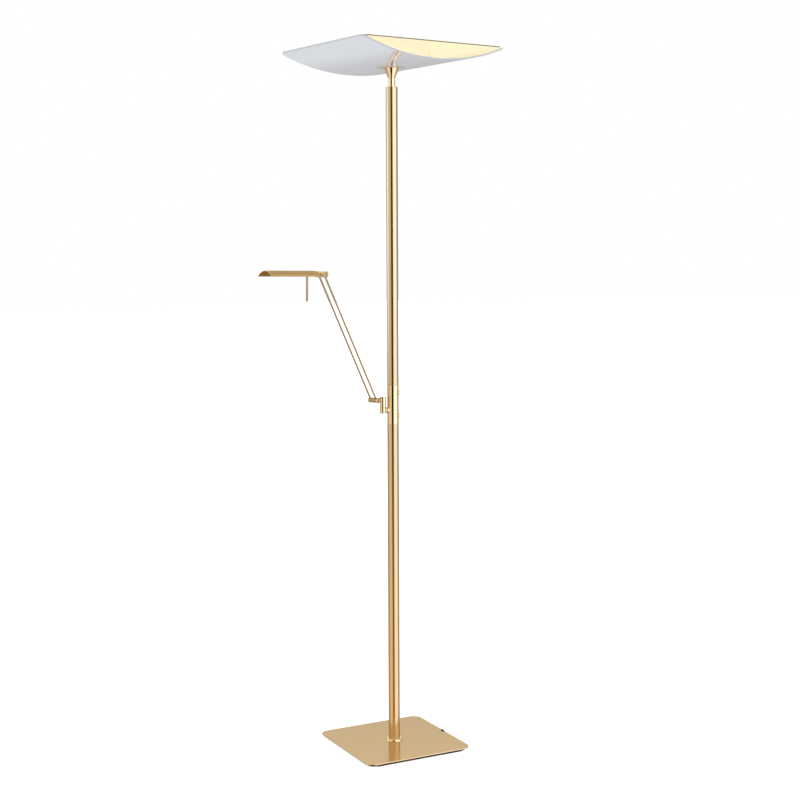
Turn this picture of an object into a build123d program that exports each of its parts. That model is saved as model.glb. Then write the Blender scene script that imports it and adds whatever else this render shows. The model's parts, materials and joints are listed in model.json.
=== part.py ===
from build123d import *
import os
from math import asin, cos, radians, sin, sqrt

# Torchiere floor lamp with a swivelling reading arm, in millimetres.
# Origin: middle of the foot, on the floor. +Z up. The foot's edges run along X and Y.
# The reading arm is fixed on the -X side of the collar; the buttons and the cable notch are on the +X side.
# The shade is drawn with its straight lines along Y and its bend along X, then turned by SHADE_YAW.

# ---- driving dimensions ----------------------------------------------------------------------------------
FIT = 0.02            # radial play of a fixed seat
RUN = 0.05            # radial play of a running fit
GAP = 0.3             # space between faces that move past each other
BREAK = 0.6           # chamfer or round on a turned edge
PAST = 1.0            # how far a cutter runs past what it cuts

# foot
BASE_SIDE = 300.0
BASE_CORNER = 25.0
PLATE_T = 3.0
PLATE_ROUND = 0.8
WEIGHT_T = 5.0
WEIGHT_INSET = 9.0
FELT_T = 1.0
FELT_INSET = 1.0
NUT_POCKET_D = 38.0
NOTCH_W = 14.0
NOTCH_D = 6.0
CHANNEL_W = 8.0
GLAND_L = 10.0
GLAND_SLOT_W = 6.0
GLAND_SLOT_H = 3.4
RING_D = 44.0
RING_H = 4.0
RING_CHAMFER = 2.0

# column
POLE_D = 30.0
POLE_WALL = 1.5
COLLAR_BOTTOM = 849.5
COLLAR_L = 100.0
SLEEVE_BORE = 20.0
SLEEVE_IN_POLE = 40.0
SLEEVE_IN_COLLAR = 10.0
PLUG_L = 25.0
CAP_T = 2.0
CAP_SPIGOT = 15.0
NECK_D = 18.0
NECK_RING_D = 20.0
NECK_RING_H = 2.0
NECK_H = 23.0
CONE_D = 38.0
CONE_H = 25.0
CONE_LIP = 1.5

# hollow threaded nipples and their nuts
NIPPLE_D = 10.0
NIPPLE_BORE = 6.5
NUT_AF = 17.0
WASHER_D = 26.0
WASHER_T = 1.0
NUT_CLEAR = 0.8       # between the base nut and the felt
NIPPLE_PROUD = 1.0    # of the nut inside the tray

# shade: a sheet bent to a circular arc, with a flat translucent cover between its edges
LAMP_H = 1800.0
SHADE_X = 420.0
SHADE_Y = 390.0
SHADE_SAG = 41.6
SHADE_T = 4.0
SHADE_CORNER = 14.0
SHADE_YAW = 6.3       # degrees about Z, against the foot
COVER_T = 3.0
COVER_PLAY = 0.3
COVER_END_INSET = 1.5
SADDLE_D = 60.0
TRAY_CLEAR = 1.0      # between the tray's lower edges and the sheet

# uplight inside the shade
TRAY_SIDE = 150.0
TRAY_H = 14.0
TRAY_FLOOR = 2.0
TRAY_CORNER = 6.0
TRAY_RIM = 13.0
TRAY_LEDGE = 4.0
BOARD_T = 1.6
BOARD_PLAY = 0.5
BOARD_CORNER = 2.0
FIN_COUNT = 9
FIN_SLOT_W = 3.0
FIN_SLOT_D = 4.0
DRIVER_L = 96.0
DRIVER_W = 30.0
DRIVER_H = 7.5
DRIVER_OFFSET = 34.0
LED_SIDE = 5.0
LED_T = 0.8
LED_GRID = 5
LED_PITCH = 22.0
POST_D = 8.0

# controls in the collar
LOWER_BUTTON_UP = 20.3     # above the collar's bottom
UPPER_BUTTON_DOWN = 19.7   # below the collar's top
BUTTON_D = 13.0
BUTTON_PROUD = 5.0
BUTTON_DOME = 3.2
BUTTON_TRAVEL = 1.0
BUTTON_FLANGE_D = 15.0
BUTTON_FLANGE_T = 1.2
BUTTON_STEM_D = 5.0
BUTTON_STEM_L = 5.0
SWITCH_SIDE = 12.0
CONTROL_BOARD_T = 1.6
CONTROL_BOARD_X = -3.0
CONTROL_BOARD_CLEAR = 1.1  # between the board's corners and the collar
ANCHOR_GAP = 0.9           # between the board and the arm's anchor

# reading arm: stub, knuckle and barrel
STUB_ABOVE = 36.2     # the collar's bottom
STUB_D = 15.5
STUB_FOOT_L = 3.5
STUB_WAIST_D = 10.0
STUB_TAIL_D = 8.0
ANCHOR_H = 24.0
BARREL_GAP = 6.4      # between the collar and the barrel
BARREL_D = 15.8
BARREL_H = 42.4
KNUCKLE_DROP = 8.0    # knuckle's foot below the stub's axis
KNUCKLE_H = 16.5
SWIVEL_PIN_D = 7.0
SWIVEL_PIN_IN = 20.0
SET_SCREW_D = 4.0
SET_SCREW_RISE = 7.4
SET_SCREW_PROUD = 2.0
ARM_YAW = 24.0

# elbow
ELBOW_DROP = 7.5      # elbow's axis below the barrel's top
LINK_L = 3.6          # between the barrel and the disc
LINK_H = 8.0
DISC_D = 15.0
DISC_T = 3.6
DISC_SIDE = 0.0       # middle of the disc's thickness, from the barrel's axis
FRICTION_WASHER_T = 0.8
CROSS_D = 13.4
CROSS_L = 27.5
CROSS_END_ROUND = 2.6
SCREW_D = 4.0
SCREW_HEAD_D = 7.0
SCREW_HEAD_T = 2.0
SCREW_SOCKET = 2.5
SCREW_SOCKET_IN = 1.2
SCREW_IN = 9.0

# rods
ROD_D = 4.8
ROD_SPACING = 18.4
ROD_L = 382.0         # from the elbow axis to the tilt axis
ROD_IN = 3.8          # depth of a rod's seat in the cross tube
ARM_LEAN = 31.6

# tilt joint
EYE_D = 15.5
EYE_T = 9.8
EYE_SHIFT = 2.1       # middle of an eye's thickness outside its rod
EYE_SEAT = 2.2        # depth of a rod's seat in its eye
EYE_WASHER_D = 13.4
TILT_BARREL_D = 14.6
HEAD_TILT = 0.9
HEAD_NECK_L = 27.5
HEAD_NECK_SLIM = 0.3  # neck thinner than the tilt barrel is wide
HEAD_NECK_GROOVE_AT = 12.0
HEAD_NECK_GROOVE_W = 1.2
HEAD_NECK_GROOVE_D = 0.6

# reading head
HEAD_L = 172.0
HEAD_W = 45.0
HEAD_H = 14.1
HEAD_WALL = 1.5
HEAD_DROP = 5.3       # mouth below the neck's axis
BLOCK_L = 30.0
BLOCK_FLOOR = 0.6     # block stops this far above the mouth
SPIGOT_D = 5.0
SPIGOT_L = 11.0
SPIGOT_HEAD_D = 7.0
SPIGOT_HEAD_L = 3.0
BAR_W = 16.0
BAR_BOTTOM = 9.2      # light bar's lower face above the mouth
LIGHT_BOARD_W = 11.0
LIGHT_BOARD_T = 1.2
DIFFUSER_W = 15.0
DIFFUSER_T = 1.8
DIFFUSER_END = 1.0
BAR_SHORT = 36.0      # bar stops short of the open end
PIN_D = 5.4
PIN_DROP = 60.0       # below the mouth
PIN_FROM_END = 24.4   # from the shell's hinge end
PIN_IN = 10.5         # depth of its seat above the mouth
PIN_TIP_FLAT = 0.2

# ---- levels and places worked out from them --------------------------------------------------------------
WEIGHT_Z = FELT_T
PLATE_Z = WEIGHT_Z + WEIGHT_T
PLATE_TOP = PLATE_Z + PLATE_T
NUT_T = WEIGHT_T - WASHER_T - NUT_CLEAR
POLE_R = POLE_D / 2
BORE_R = POLE_R - POLE_WALL
COLLAR_TOP = COLLAR_BOTTOM + COLLAR_L
BUTTON_LEVELS = {"lower": COLLAR_BOTTOM + LOWER_BUTTON_UP, "upper": COLLAR_TOP - UPPER_BUTTON_DOWN}
CONTROL_BOARD_BACK = CONTROL_BOARD_X - CONTROL_BOARD_T
ANCHOR_FRONT = CONTROL_BOARD_BACK - ANCHOR_GAP

SHADE_R = (SHADE_X ** 2 / 4 + SHADE_SAG ** 2) / (2 * SHADE_SAG)
SHADE_AXIS_Z = LAMP_H - SHADE_SAG + SHADE_R
SHADE_BOTTOM = LAMP_H - SHADE_SAG - SHADE_T
NECK_TOP = SHADE_BOTTOM - CONE_H
POLE_TOP = NECK_TOP - NECK_H
COVER_Z = LAMP_H - COVER_T
TRAY_BOTTOM = SHADE_AXIS_Z - sqrt(SHADE_R ** 2 - TRAY_SIDE ** 2 / 4) + TRAY_CLEAR
TRAY_TOP = TRAY_BOTTOM + TRAY_H
BOARD_SIDE = TRAY_SIDE - 2 * TRAY_RIM
BOARD_Z = TRAY_TOP - 2 * BOARD_T
POST_AT = (TRAY_SIDE + BOARD_SIDE) / 4
SHADE_FRAME = Location((0, 0, 0), (0, 0, SHADE_YAW))

STUB_UP = COLLAR_BOTTOM + STUB_ABOVE
BARREL_REACH = POLE_R + BARREL_GAP + BARREL_D / 2
BARREL_BOTTOM = STUB_UP - KNUCKLE_DROP
BARREL_TOP = BARREL_BOTTOM + BARREL_H
SWIVEL_Z = BARREL_BOTTOM + KNUCKLE_H
ELBOW_UP = BARREL_TOP - ELBOW_DROP
ELBOW_OUT = (BARREL_D + DISC_D) / 2 + LINK_L
ROD_SIDES = {"near": ROD_SPACING / 2, "far": -ROD_SPACING / 2}
CROSS_END = ROD_SPACING / 2 + ROD_D / 2 + GAP
DISC_FACE = CROSS_END + FRICTION_WASHER_T + RUN
ELBOW_SIDE = DISC_SIDE - DISC_T / 2 - DISC_FACE
EYE_INNER = (ROD_SPACING - EYE_T) / 2 + EYE_SHIFT
EYE_OUTER = EYE_INNER + EYE_T
TILT_BARREL_W = 2 * (EYE_INNER - FRICTION_WASHER_T - RUN)
HEAD_NECK_D = TILT_BARREL_W - HEAD_NECK_SLIM
HEAD_START = HEAD_NECK_L + GAP
HEAD_END = HEAD_START + HEAD_L
HEAD_ARC_R = (HEAD_W ** 2 / 4 + HEAD_H ** 2) / (2 * HEAD_H)
HEAD_ARC_Z = HEAD_H - HEAD_ARC_R - HEAD_DROP
BAR_Z = BAR_BOTTOM - HEAD_DROP
PIN_AT = HEAD_START + PIN_FROM_END

# the arm's own frame: x outwards along the arm, y along the elbow's axis, z up, on the swivel's axis
ARM_FRAME = Location((-BARREL_REACH, 0, 0), (0, 0, 180 + ARM_YAW))
ELBOW_AT = (ELBOW_OUT, ELBOW_SIDE, ELBOW_UP)
ROD_FRAME = ARM_FRAME * Location(ELBOW_AT, (0, ARM_LEAN, 0))
LEAN = radians(ARM_LEAN)
TILT_AT = (ELBOW_OUT + ROD_L * sin(LEAN), ELBOW_SIDE, ELBOW_UP + ROD_L * cos(LEAN))
HEAD_FRAME = ARM_FRAME * Location(TILT_AT, (0, -HEAD_TILT, 0))

DOWN = (Align.CENTER, Align.CENTER, Align.MIN)
ALONG_X = (0, 90, 0)
ALONG_Y = (-90, 0, 0)


# ---- helpers ---------------------------------------------------------------------------------------------
def rod(radius, low, high, x=0.0, y=0.0):
    """Upright cylinder between two levels."""
    return Pos(x, y, low) * Cylinder(radius, high - low, align=DOWN)


def rod_x(radius, start, end, y=0.0, z=0.0):
    """Cylinder along X between two places."""
    return Location((start, y, z), ALONG_X) * Cylinder(radius, end - start, align=DOWN)


def rod_y(radius, start, end, x=0.0, z=0.0):
    """Cylinder along Y between two places."""
    return Location((x, start, z), ALONG_Y) * Cylinder(radius, end - start, align=DOWN)


def block(x0, x1, y0, y1, z0, z1):
    """Box between two corners."""
    return Pos((x0 + x1) / 2, (y0 + y1) / 2, (z0 + z1) / 2) * Box(x1 - x0, y1 - y0, z1 - z0)


def slab(side_x, side_y, corner, low, high):
    """Flat plate with rounded corners between two levels."""
    return Pos(0, 0, low) * extrude(RectangleRounded(side_x, side_y, corner), high - low)


def hexagon(across_flats, low, high):
    """Upright hexagonal bar between two levels."""
    return Pos(0, 0, low) * extrude(RegularPolygon(across_flats / 2, 6, major_radius=False), high - low)


def turned(points):
    """Solid of revolution about Z from (radius, height) points."""
    return revolve(make_face(Plane.XZ * Polyline(*points, close=True)), Axis.Z)


def bored(solid, radius, low, high):
    """Solid with an upright hole through it, from below one level to above another."""
    return solid - rod(radius, low - PAST, high + PAST)


def break_edge(solid, axis, last, size=BREAK):
    """Chamfers the rim of a solid's first or last face along an axis."""
    return chamfer(solid.faces().sort_by(axis)[-1 if last else 0].edges(), size)


NIPPLE_HOLE_R = NIPPLE_D / 2 + FIT


# ---- foot ------------------------------------------------------------------------------------------------
def base_plate():
    plate = slab(BASE_SIDE, BASE_SIDE, BASE_CORNER, PLATE_Z, PLATE_TOP)
    plate = fillet(plate.faces().sort_by(Axis.Z)[-1].outer_wire().edges(), PLATE_ROUND)
    half = BASE_SIDE / 2
    notch = block(half - NOTCH_D, half + PAST, -NOTCH_W / 2, NOTCH_W / 2, PLATE_Z - PAST, PLATE_TOP + PAST)
    notch = fillet(notch.edges().filter_by(Axis.Z).group_by(Axis.X)[0], NOTCH_D / 3)
    return bored(plate - notch, NIPPLE_HOLE_R, PLATE_Z, PLATE_TOP)


def base_weight():
    side = BASE_SIDE - 2 * WEIGHT_INSET
    weight = slab(side, side, BASE_CORNER - WEIGHT_INSET, WEIGHT_Z, PLATE_Z)
    half = CHANNEL_W / 2
    weight -= block(0, side / 2 + PAST, -half, half, WEIGHT_Z - PAST, PLATE_Z + PAST)
    return bored(weight, NUT_POCKET_D / 2, WEIGHT_Z, PLATE_Z)


def floor_pad():
    inset = WEIGHT_INSET + FELT_INSET
    side = BASE_SIDE - 2 * inset
    return slab(side, side, BASE_CORNER - inset, 0, FELT_T)


def cable_gland():
    """Block in the mouth of the weight's channel, with a flat slot for the lead."""
    edge = BASE_SIDE / 2 - WEIGHT_INSET
    half = CHANNEL_W / 2 - FIT
    body = block(edge - GLAND_L, edge, -half, half, WEIGHT_Z, PLATE_Z)
    start = Location((edge - GLAND_L - PAST, 0, (WEIGHT_Z + PLATE_Z) / 2), (90, 0, 90))
    return body - start * extrude(SlotOverall(GLAND_SLOT_W, GLAND_SLOT_H), GLAND_L + 2 * PAST)


def foot_ring():
    inner, outer = POLE_R + FIT, RING_D / 2
    top = PLATE_TOP + RING_H
    slope = (outer, top - RING_CHAMFER), (outer - RING_CHAMFER, top)
    return turned([(inner, PLATE_TOP), (outer, PLATE_TOP), *slope, (inner, top)])


def nipple(low, high):
    return bored(rod(NIPPLE_D / 2, low, high), NIPPLE_BORE / 2, low, high)


def nut(low):
    return bored(hexagon(NUT_AF, low, low + NUT_T), NIPPLE_HOLE_R, low, low + NUT_T)


def base_washer():
    low = PLATE_Z - WASHER_T
    return bored(rod(WASHER_D / 2, low, PLATE_Z), NIPPLE_HOLE_R, low, PLATE_Z)


def bottom_plug():
    high = PLATE_TOP + PLUG_L
    return bored(rod(BORE_R - FIT, PLATE_TOP, high), NIPPLE_HOLE_R, PLATE_TOP, high)


# ---- column ----------------------------------------------------------------------------------------------
def pole(low, high):
    return bored(rod(POLE_R, low, high), BORE_R, low, high)


def collar():
    tube = pole(COLLAR_BOTTOM, COLLAR_TOP)
    for level in BUTTON_LEVELS.values():
        tube -= rod_x(BUTTON_D / 2 + RUN, 0, POLE_R + PAST, z=level)
    return tube - rod_x(STUB_TAIL_D / 2 + FIT, -POLE_R - PAST, 0, z=STUB_UP)


def joining_sleeve(low, high):
    return bored(rod(BORE_R - FIT, low, high), SLEEVE_BORE / 2, low, high)


def pole_cap():
    under = POLE_TOP - CAP_T
    flange = break_edge(rod(POLE_R, under, POLE_TOP), Axis.Z, True)
    spigot = rod(BORE_R - FIT, under - CAP_SPIGOT, under)
    return bored(flange + spigot, NIPPLE_HOLE_R, under - CAP_SPIGOT, POLE_TOP)


def shade_neck():
    neck, ring = NECK_D / 2, NECK_RING_D / 2
    ring_top = POLE_TOP + NECK_RING_H
    outside = (ring, POLE_TOP), (ring, ring_top), (neck, ring_top), (neck, NECK_TOP)
    return turned([(NIPPLE_HOLE_R, POLE_TOP), *outside, (NIPPLE_HOLE_R, NECK_TOP)])


def shade_cone():
    top = CONE_D / 2
    outside = (NECK_D / 2, NECK_TOP), (top, SHADE_BOTTOM - CONE_LIP), (top, SHADE_BOTTOM)
    cone = turned([(NIPPLE_HOLE_R, NECK_TOP), *outside, (NIPPLE_HOLE_R, SHADE_BOTTOM)])
    return fillet(cone.edges().filter_by(GeomType.CIRCLE).sort_by(SortBy.RADIUS)[-1], CONE_LIP / 3)


# ---- shade and uplight -----------------------------------------------------------------------------------
def bend(radius, length):
    """Lying cylinder on the shade's bending axis."""
    return rod_y(radius, -length / 2, length / 2, z=SHADE_AXIS_Z)


def shade_sheet():
    outline = slab(SHADE_X, SHADE_Y, SHADE_CORNER, SHADE_BOTTOM - PAST, LAMP_H)
    sheet = (outline & bend(SHADE_R + SHADE_T, SHADE_Y + PAST)) - bend(SHADE_R, SHADE_Y + 2 * PAST)
    return bored(sheet, NIPPLE_HOLE_R, SHADE_BOTTOM, SHADE_BOTTOM + SHADE_T)


def shade_saddle():
    """Block between the bent sheet and the tray's flat floor."""
    saddle = rod(SADDLE_D / 2, SHADE_BOTTOM, TRAY_BOTTOM) & bend(SHADE_R, SHADE_Y)
    return bored(saddle, NIPPLE_HOLE_R, SHADE_BOTTOM, TRAY_BOTTOM)


def cover_plate():
    half = sqrt(SHADE_R ** 2 - (SHADE_AXIS_Z - COVER_Z) ** 2) - COVER_PLAY
    plate = slab(2 * half, SHADE_Y - 2 * COVER_END_INSET, SHADE_CORNER, COVER_Z, LAMP_H)
    return break_edge(plate, Axis.Z, True)


def uplight_tray():
    """Heat sink: a floor, a ledge for the board and slots in two of its sides."""
    tray = slab(TRAY_SIDE, TRAY_SIDE, TRAY_CORNER, TRAY_BOTTOM, TRAY_TOP)
    pocket = BOARD_SIDE / 2 - TRAY_LEDGE
    ledge = BOARD_SIDE / 2 + BOARD_PLAY
    floor = TRAY_BOTTOM + TRAY_FLOOR
    tray -= block(-pocket, pocket, -pocket, pocket, floor, TRAY_TOP + PAST)
    tray -= block(-ledge, ledge, -ledge, ledge, BOARD_Z, TRAY_TOP + PAST)
    pitch = 2 * pocket / FIN_COUNT
    middle = TRAY_BOTTOM + TRAY_H / 2
    slots = GridLocations(pitch, TRAY_SIDE, FIN_COUNT, 2)
    for place in slots:
        tray -= Pos(0, 0, middle) * place * Box(FIN_SLOT_W, 2 * FIN_SLOT_D, TRAY_H + PAST)
    return bored(tray, NIPPLE_HOLE_R, TRAY_BOTTOM, floor)


def uplight_driver():
    low = TRAY_BOTTOM + TRAY_FLOOR
    near, far = DRIVER_OFFSET - DRIVER_W / 2, DRIVER_OFFSET + DRIVER_W / 2
    return break_edge(block(-DRIVER_L / 2, DRIVER_L / 2, near, far, low, low + DRIVER_H), Axis.Z, True)


def uplight_points():
    low = BOARD_Z + BOARD_T
    places = GridLocations(LED_PITCH, LED_PITCH, LED_GRID, LED_GRID)
    chips = [place * Pos(0, 0, low) * Box(LED_SIDE, LED_SIDE, LED_T, align=DOWN) for place in places]
    return Compound(children=chips)


def cover_posts():
    corners = GridLocations(2 * POST_AT, 2 * POST_AT, 2, 2)
    return Compound(children=[corner * rod(POST_D / 2, TRAY_TOP, COVER_Z) for corner in corners])


# ---- controls --------------------------------------------------------------------------------------------
def button_flange_x():
    """Outer face of a button's flange, just inside the collar's bore."""
    return sqrt(BORE_R ** 2 - (BUTTON_FLANGE_D / 2) ** 2) - GAP


def push_button(level):
    flange_out = button_flange_x()
    flange_in = flange_out - BUTTON_FLANGE_T
    tip = POLE_R + BUTTON_PROUD
    base = tip - BUTTON_DOME
    cap, flange, stem = BUTTON_D / 2, BUTTON_FLANGE_D / 2, BUTTON_STEM_D / 2
    dome_r = (cap ** 2 + BUTTON_DOME ** 2) / (2 * BUTTON_DOME)
    half_turn = asin(cap / dome_r) / 2
    crest = (dome_r * sin(half_turn), tip - dome_r * (1 - cos(half_turn)))
    rear = flange_in - BUTTON_STEM_L
    rim = (cap, base), (cap, flange_out), (flange, flange_out), (flange, flange_in)
    sides = Polyline(*rim, (stem, flange_in), (stem, rear), (0, rear), (0, tip))
    profile = make_face(Plane.XZ * (sides + ThreePointArc((0, tip), crest, (cap, base))))
    return Location((0, 0, level), ALONG_X) * revolve(profile, Axis.Z)


def switch_housing(level):
    front = button_flange_x() - BUTTON_FLANGE_T - BUTTON_TRAVEL - GAP
    half = SWITCH_SIDE / 2
    body = block(CONTROL_BOARD_X, front, -half, half, level - half, level + half)
    body = break_edge(body, Axis.X, True)
    return body - rod_x(BUTTON_STEM_D / 2 + RUN, CONTROL_BOARD_X + PAST, front + PAST, z=level)


def control_board():
    half = sqrt((BORE_R - CONTROL_BOARD_CLEAR) ** 2 - CONTROL_BOARD_BACK ** 2)
    low, high = COLLAR_BOTTOM + SLEEVE_IN_COLLAR, COLLAR_TOP - SLEEVE_IN_COLLAR
    return block(CONTROL_BOARD_BACK, CONTROL_BOARD_X, -half, half, low, high)


# ---- arm: fixed pieces -----------------------------------------------------------------------------------
def arm_anchor():
    low, high = STUB_UP - ANCHOR_H / 2, STUB_UP + ANCHOR_H / 2
    anchor = rod(BORE_R - FIT, low, high) & block(-BORE_R, ANCHOR_FRONT, -BORE_R, BORE_R, low, high)
    return anchor - rod_x(STUB_TAIL_D / 2 + FIT, -POLE_R, ANCHOR_FRONT + PAST, z=STUB_UP)


def stub_end():
    """Outer end of the stub, inside the knuckle and clear of the swivel pin."""
    return -BARREL_REACH + SWIVEL_PIN_D / 2 + PAST


def arm_stub():
    tail = rod_x(STUB_TAIL_D / 2, -POLE_R, ANCHOR_FRONT, z=STUB_UP)
    waist = rod_x(STUB_WAIST_D / 2, stub_end(), -POLE_R, z=STUB_UP)
    foot = rod_x(STUB_D / 2, -POLE_R - STUB_FOOT_L, 0, z=STUB_UP)
    foot -= rod(POLE_R, STUB_UP - STUB_D, STUB_UP + STUB_D)
    return tail + waist + foot


def swivel_knuckle():
    body = break_edge(rod(BARREL_D / 2, BARREL_BOTTOM, SWIVEL_Z), Axis.Z, False)
    body = bored(body, SWIVEL_PIN_D / 2 + FIT, BARREL_BOTTOM, SWIVEL_Z)
    return Pos(-BARREL_REACH, 0, 0) * body - rod_x(STUB_WAIST_D / 2 + FIT, stub_end(), 0, z=STUB_UP)


def swivel_pin():
    return rod(SWIVEL_PIN_D / 2, BARREL_BOTTOM + BREAK, SWIVEL_Z + SWIVEL_PIN_IN, -BARREL_REACH)


# ---- arm: swivelling pieces, in the arm's frame ----------------------------------------------------------
def swivel_barrel():
    low = SWIVEL_Z + GAP
    body = break_edge(rod(BARREL_D / 2, low, BARREL_TOP), Axis.Z, True)
    body -= rod(SWIVEL_PIN_D / 2 + RUN, low - PAST, SWIVEL_Z + SWIVEL_PIN_IN + GAP)
    return body - rod_x(SET_SCREW_D / 2 + FIT, -BARREL_D, 0, z=SWIVEL_Z + SET_SCREW_RISE)


def barrel_set_screw():
    """Screw on the barrel's pole side that keeps it on its pin."""
    level = SWIVEL_Z + SET_SCREW_RISE
    outer = -BARREL_D / 2 - SET_SCREW_PROUD
    screw = rod_x(SET_SCREW_D / 2, outer, -SWIVEL_PIN_D / 2 - RUN, z=level)
    return screw - rod_x(SET_SCREW_D / 4, outer - PAST, outer + SCREW_SOCKET_IN, z=level)


def elbow_link():
    """Short bar and disc on the barrel; the disc's outer face takes the elbow screw's head."""
    low, high = DISC_SIDE - DISC_T / 2, DISC_SIDE + DISC_T / 2
    disc = break_edge(rod_y(DISC_D / 2, low, high, ELBOW_OUT, ELBOW_UP), Axis.Y, True)
    bar = block(0, ELBOW_OUT, low, high, ELBOW_UP - LINK_H / 2, ELBOW_UP + LINK_H / 2)
    link = disc + (bar - rod(BARREL_D / 2, BARREL_BOTTOM, BARREL_TOP + PAST))
    link -= rod_y(SCREW_D / 2 + RUN, low - PAST, high + PAST, ELBOW_OUT, ELBOW_UP)
    seat = high - SCREW_HEAD_T - RUN
    return link - rod_y(SCREW_HEAD_D / 2 + RUN, seat, high + PAST, ELBOW_OUT, ELBOW_UP)


# ---- arm: lifting pieces, in the rods' frame -------------------------------------------------------------
def socket_screw(head_face, tip, level=0.0):
    """Screw along Y with a hexagon socket in the middle of its head."""
    under = head_face - SCREW_HEAD_T
    head = break_edge(rod_y(SCREW_HEAD_D / 2, under, head_face, z=level), Axis.Y, True, BREAK / 2)
    socket = extrude(RegularPolygon(SCREW_SOCKET / 2, 6, major_radius=False), SCREW_SOCKET_IN + PAST)
    head -= Location((0, head_face - SCREW_SOCKET_IN, level), ALONG_Y) * socket
    return head + rod_y(SCREW_D / 2, tip, under, z=level)


def elbow_washer():
    high = CROSS_END + FRICTION_WASHER_T
    washer = rod_y(DISC_D / 2 - BREAK, CROSS_END, high)
    return washer - rod_y(SCREW_D / 2 + FIT, CROSS_END - PAST, high + PAST)


def cross_tube():
    tube = rod_y(CROSS_D / 2, CROSS_END - CROSS_L, CROSS_END)
    tube = fillet(tube.faces().sort_by(Axis.Y)[0].edges(), CROSS_END_ROUND)
    tube = break_edge(tube, Axis.Y, True)
    for side in ROD_SIDES.values():
        tube -= rod(ROD_D / 2 + FIT, CROSS_D / 2 - ROD_IN, CROSS_D, 0, side)
    return tube - rod_y(SCREW_D / 2 + FIT, CROSS_END - SCREW_IN - GAP, CROSS_END + PAST)


def arm_rod(side):
    return rod(ROD_D / 2, CROSS_D / 2 - ROD_IN, ROD_L - EYE_D / 2 + EYE_SEAT, 0, side)


def rod_eye(side):
    """Drum on a rod's end, on the tilt screw; the near one takes the screw's head."""
    near = side > 0
    low, high = (EYE_INNER, EYE_OUTER) if near else (-EYE_OUTER, -EYE_INNER)
    eye = break_edge(rod_y(EYE_D / 2, low, high, z=ROD_L), Axis.Y, near)
    eye -= rod_y(SCREW_D / 2 + FIT, low - PAST, high + PAST, z=ROD_L)
    if near:
        eye -= rod_y(SCREW_HEAD_D / 2 + FIT, high - SCREW_HEAD_T, high + PAST, z=ROD_L)
    return eye - rod(ROD_D / 2 + FIT, 0, ROD_L - EYE_D / 2 + EYE_SEAT, 0, side)


def tilt_washers():
    rings = []
    for side in (-1, 1):
        low, high = sorted((side * (EYE_INNER - FRICTION_WASHER_T), side * EYE_INNER))
        ring = rod_y(EYE_WASHER_D / 2, low, high, z=ROD_L)
        rings.append(ring - rod_y(SCREW_D / 2 + FIT, low - PAST, high + PAST, z=ROD_L))
    return Compound(children=rings)


# ---- head, in its own frame: x along the head from the tilt axis -----------------------------------------
def tilt_barrel():
    """Barrel between the rod eyes, with the head's neck and the spigot that the head turns on."""
    half = TILT_BARREL_W / 2
    groove = HEAD_NECK_GROOVE_AT, HEAD_NECK_GROOVE_AT + HEAD_NECK_GROOVE_W
    neck = rod_x(HEAD_NECK_D / 2, 0, HEAD_NECK_L)
    neck -= rod_x(HEAD_NECK_D, *groove) - rod_x(HEAD_NECK_D / 2 - HEAD_NECK_GROOVE_D, *groove)
    head_from = HEAD_START + SPIGOT_L + RUN
    body = rod_y(TILT_BARREL_D / 2, -half, half) + neck + rod_x(SPIGOT_D / 2, HEAD_NECK_L, head_from)
    body += rod_x(SPIGOT_HEAD_D / 2, head_from, head_from + SPIGOT_HEAD_L)
    return body - rod_y(SCREW_D / 2 + RUN, -half - PAST, half + PAST)


def arch(radius, start, end):
    """Part above the mouth of a lying cylinder on the shell's axis."""
    above = block(start - PAST, end + PAST, -HEAD_W, HEAD_W, -HEAD_DROP, HEAD_H)
    return rod_x(radius, start, end, z=HEAD_ARC_Z) & above


def head_shell():
    inside = arch(HEAD_ARC_R - HEAD_WALL, HEAD_START - PAST, HEAD_END + PAST)
    return arch(HEAD_ARC_R, HEAD_START, HEAD_END) - inside


def head_block():
    """End piece in the shell that takes the neck's spigot and the handle pin."""
    end = HEAD_START + BLOCK_L
    body = arch(HEAD_ARC_R - HEAD_WALL - FIT, HEAD_START, end)
    body &= block(HEAD_START, end, -HEAD_W, HEAD_W, BLOCK_FLOOR - HEAD_DROP, HEAD_H)
    body -= rod_x(SPIGOT_D / 2 + RUN, HEAD_START - PAST, end + PAST)
    body -= rod_x(SPIGOT_HEAD_D / 2 + RUN, HEAD_START + SPIGOT_L, end + PAST)
    return body - rod(PIN_D / 2 + FIT, -HEAD_DROP - PAST, PIN_IN - HEAD_DROP, PIN_AT)


def bar_run():
    """Ends of the light bar and of what it carries."""
    return HEAD_START + BLOCK_L, HEAD_END - BAR_SHORT


def light_bar():
    start, end = bar_run()
    half = BAR_W / 2
    return arch(HEAD_ARC_R - HEAD_WALL - FIT, start, end) & block(start, end, -half, half, BAR_Z, HEAD_H)


def light_board():
    start, end = bar_run()
    half = LIGHT_BOARD_W / 2
    wall = DIFFUSER_END + GAP
    return block(start + wall, end - wall, -half, half, BAR_Z - LIGHT_BOARD_T, BAR_Z)


def head_diffuser():
    """Opal lid over the light board, open towards the bar."""
    start, end = bar_run()
    floor = BAR_Z - LIGHT_BOARD_T
    half = DIFFUSER_W / 2
    lid = block(start, end, -half, half, floor - DIFFUSER_T, BAR_Z)
    lid = chamfer(lid.faces().sort_by(Axis.Z)[0].edges().filter_by(Axis.X), DIFFUSER_T / 2)
    inside = LIGHT_BOARD_W / 2 + GAP
    return lid - block(start + DIFFUSER_END, end - DIFFUSER_END, -inside, inside, floor, HEAD_H)


def handle_pin():
    pin = rod(PIN_D / 2, -HEAD_DROP - PIN_DROP, PIN_IN - HEAD_DROP, PIN_AT)
    return fillet(pin.faces().sort_by(Axis.Z)[0].edges(), PIN_D / 2 - PIN_TIP_FLAT)


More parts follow.
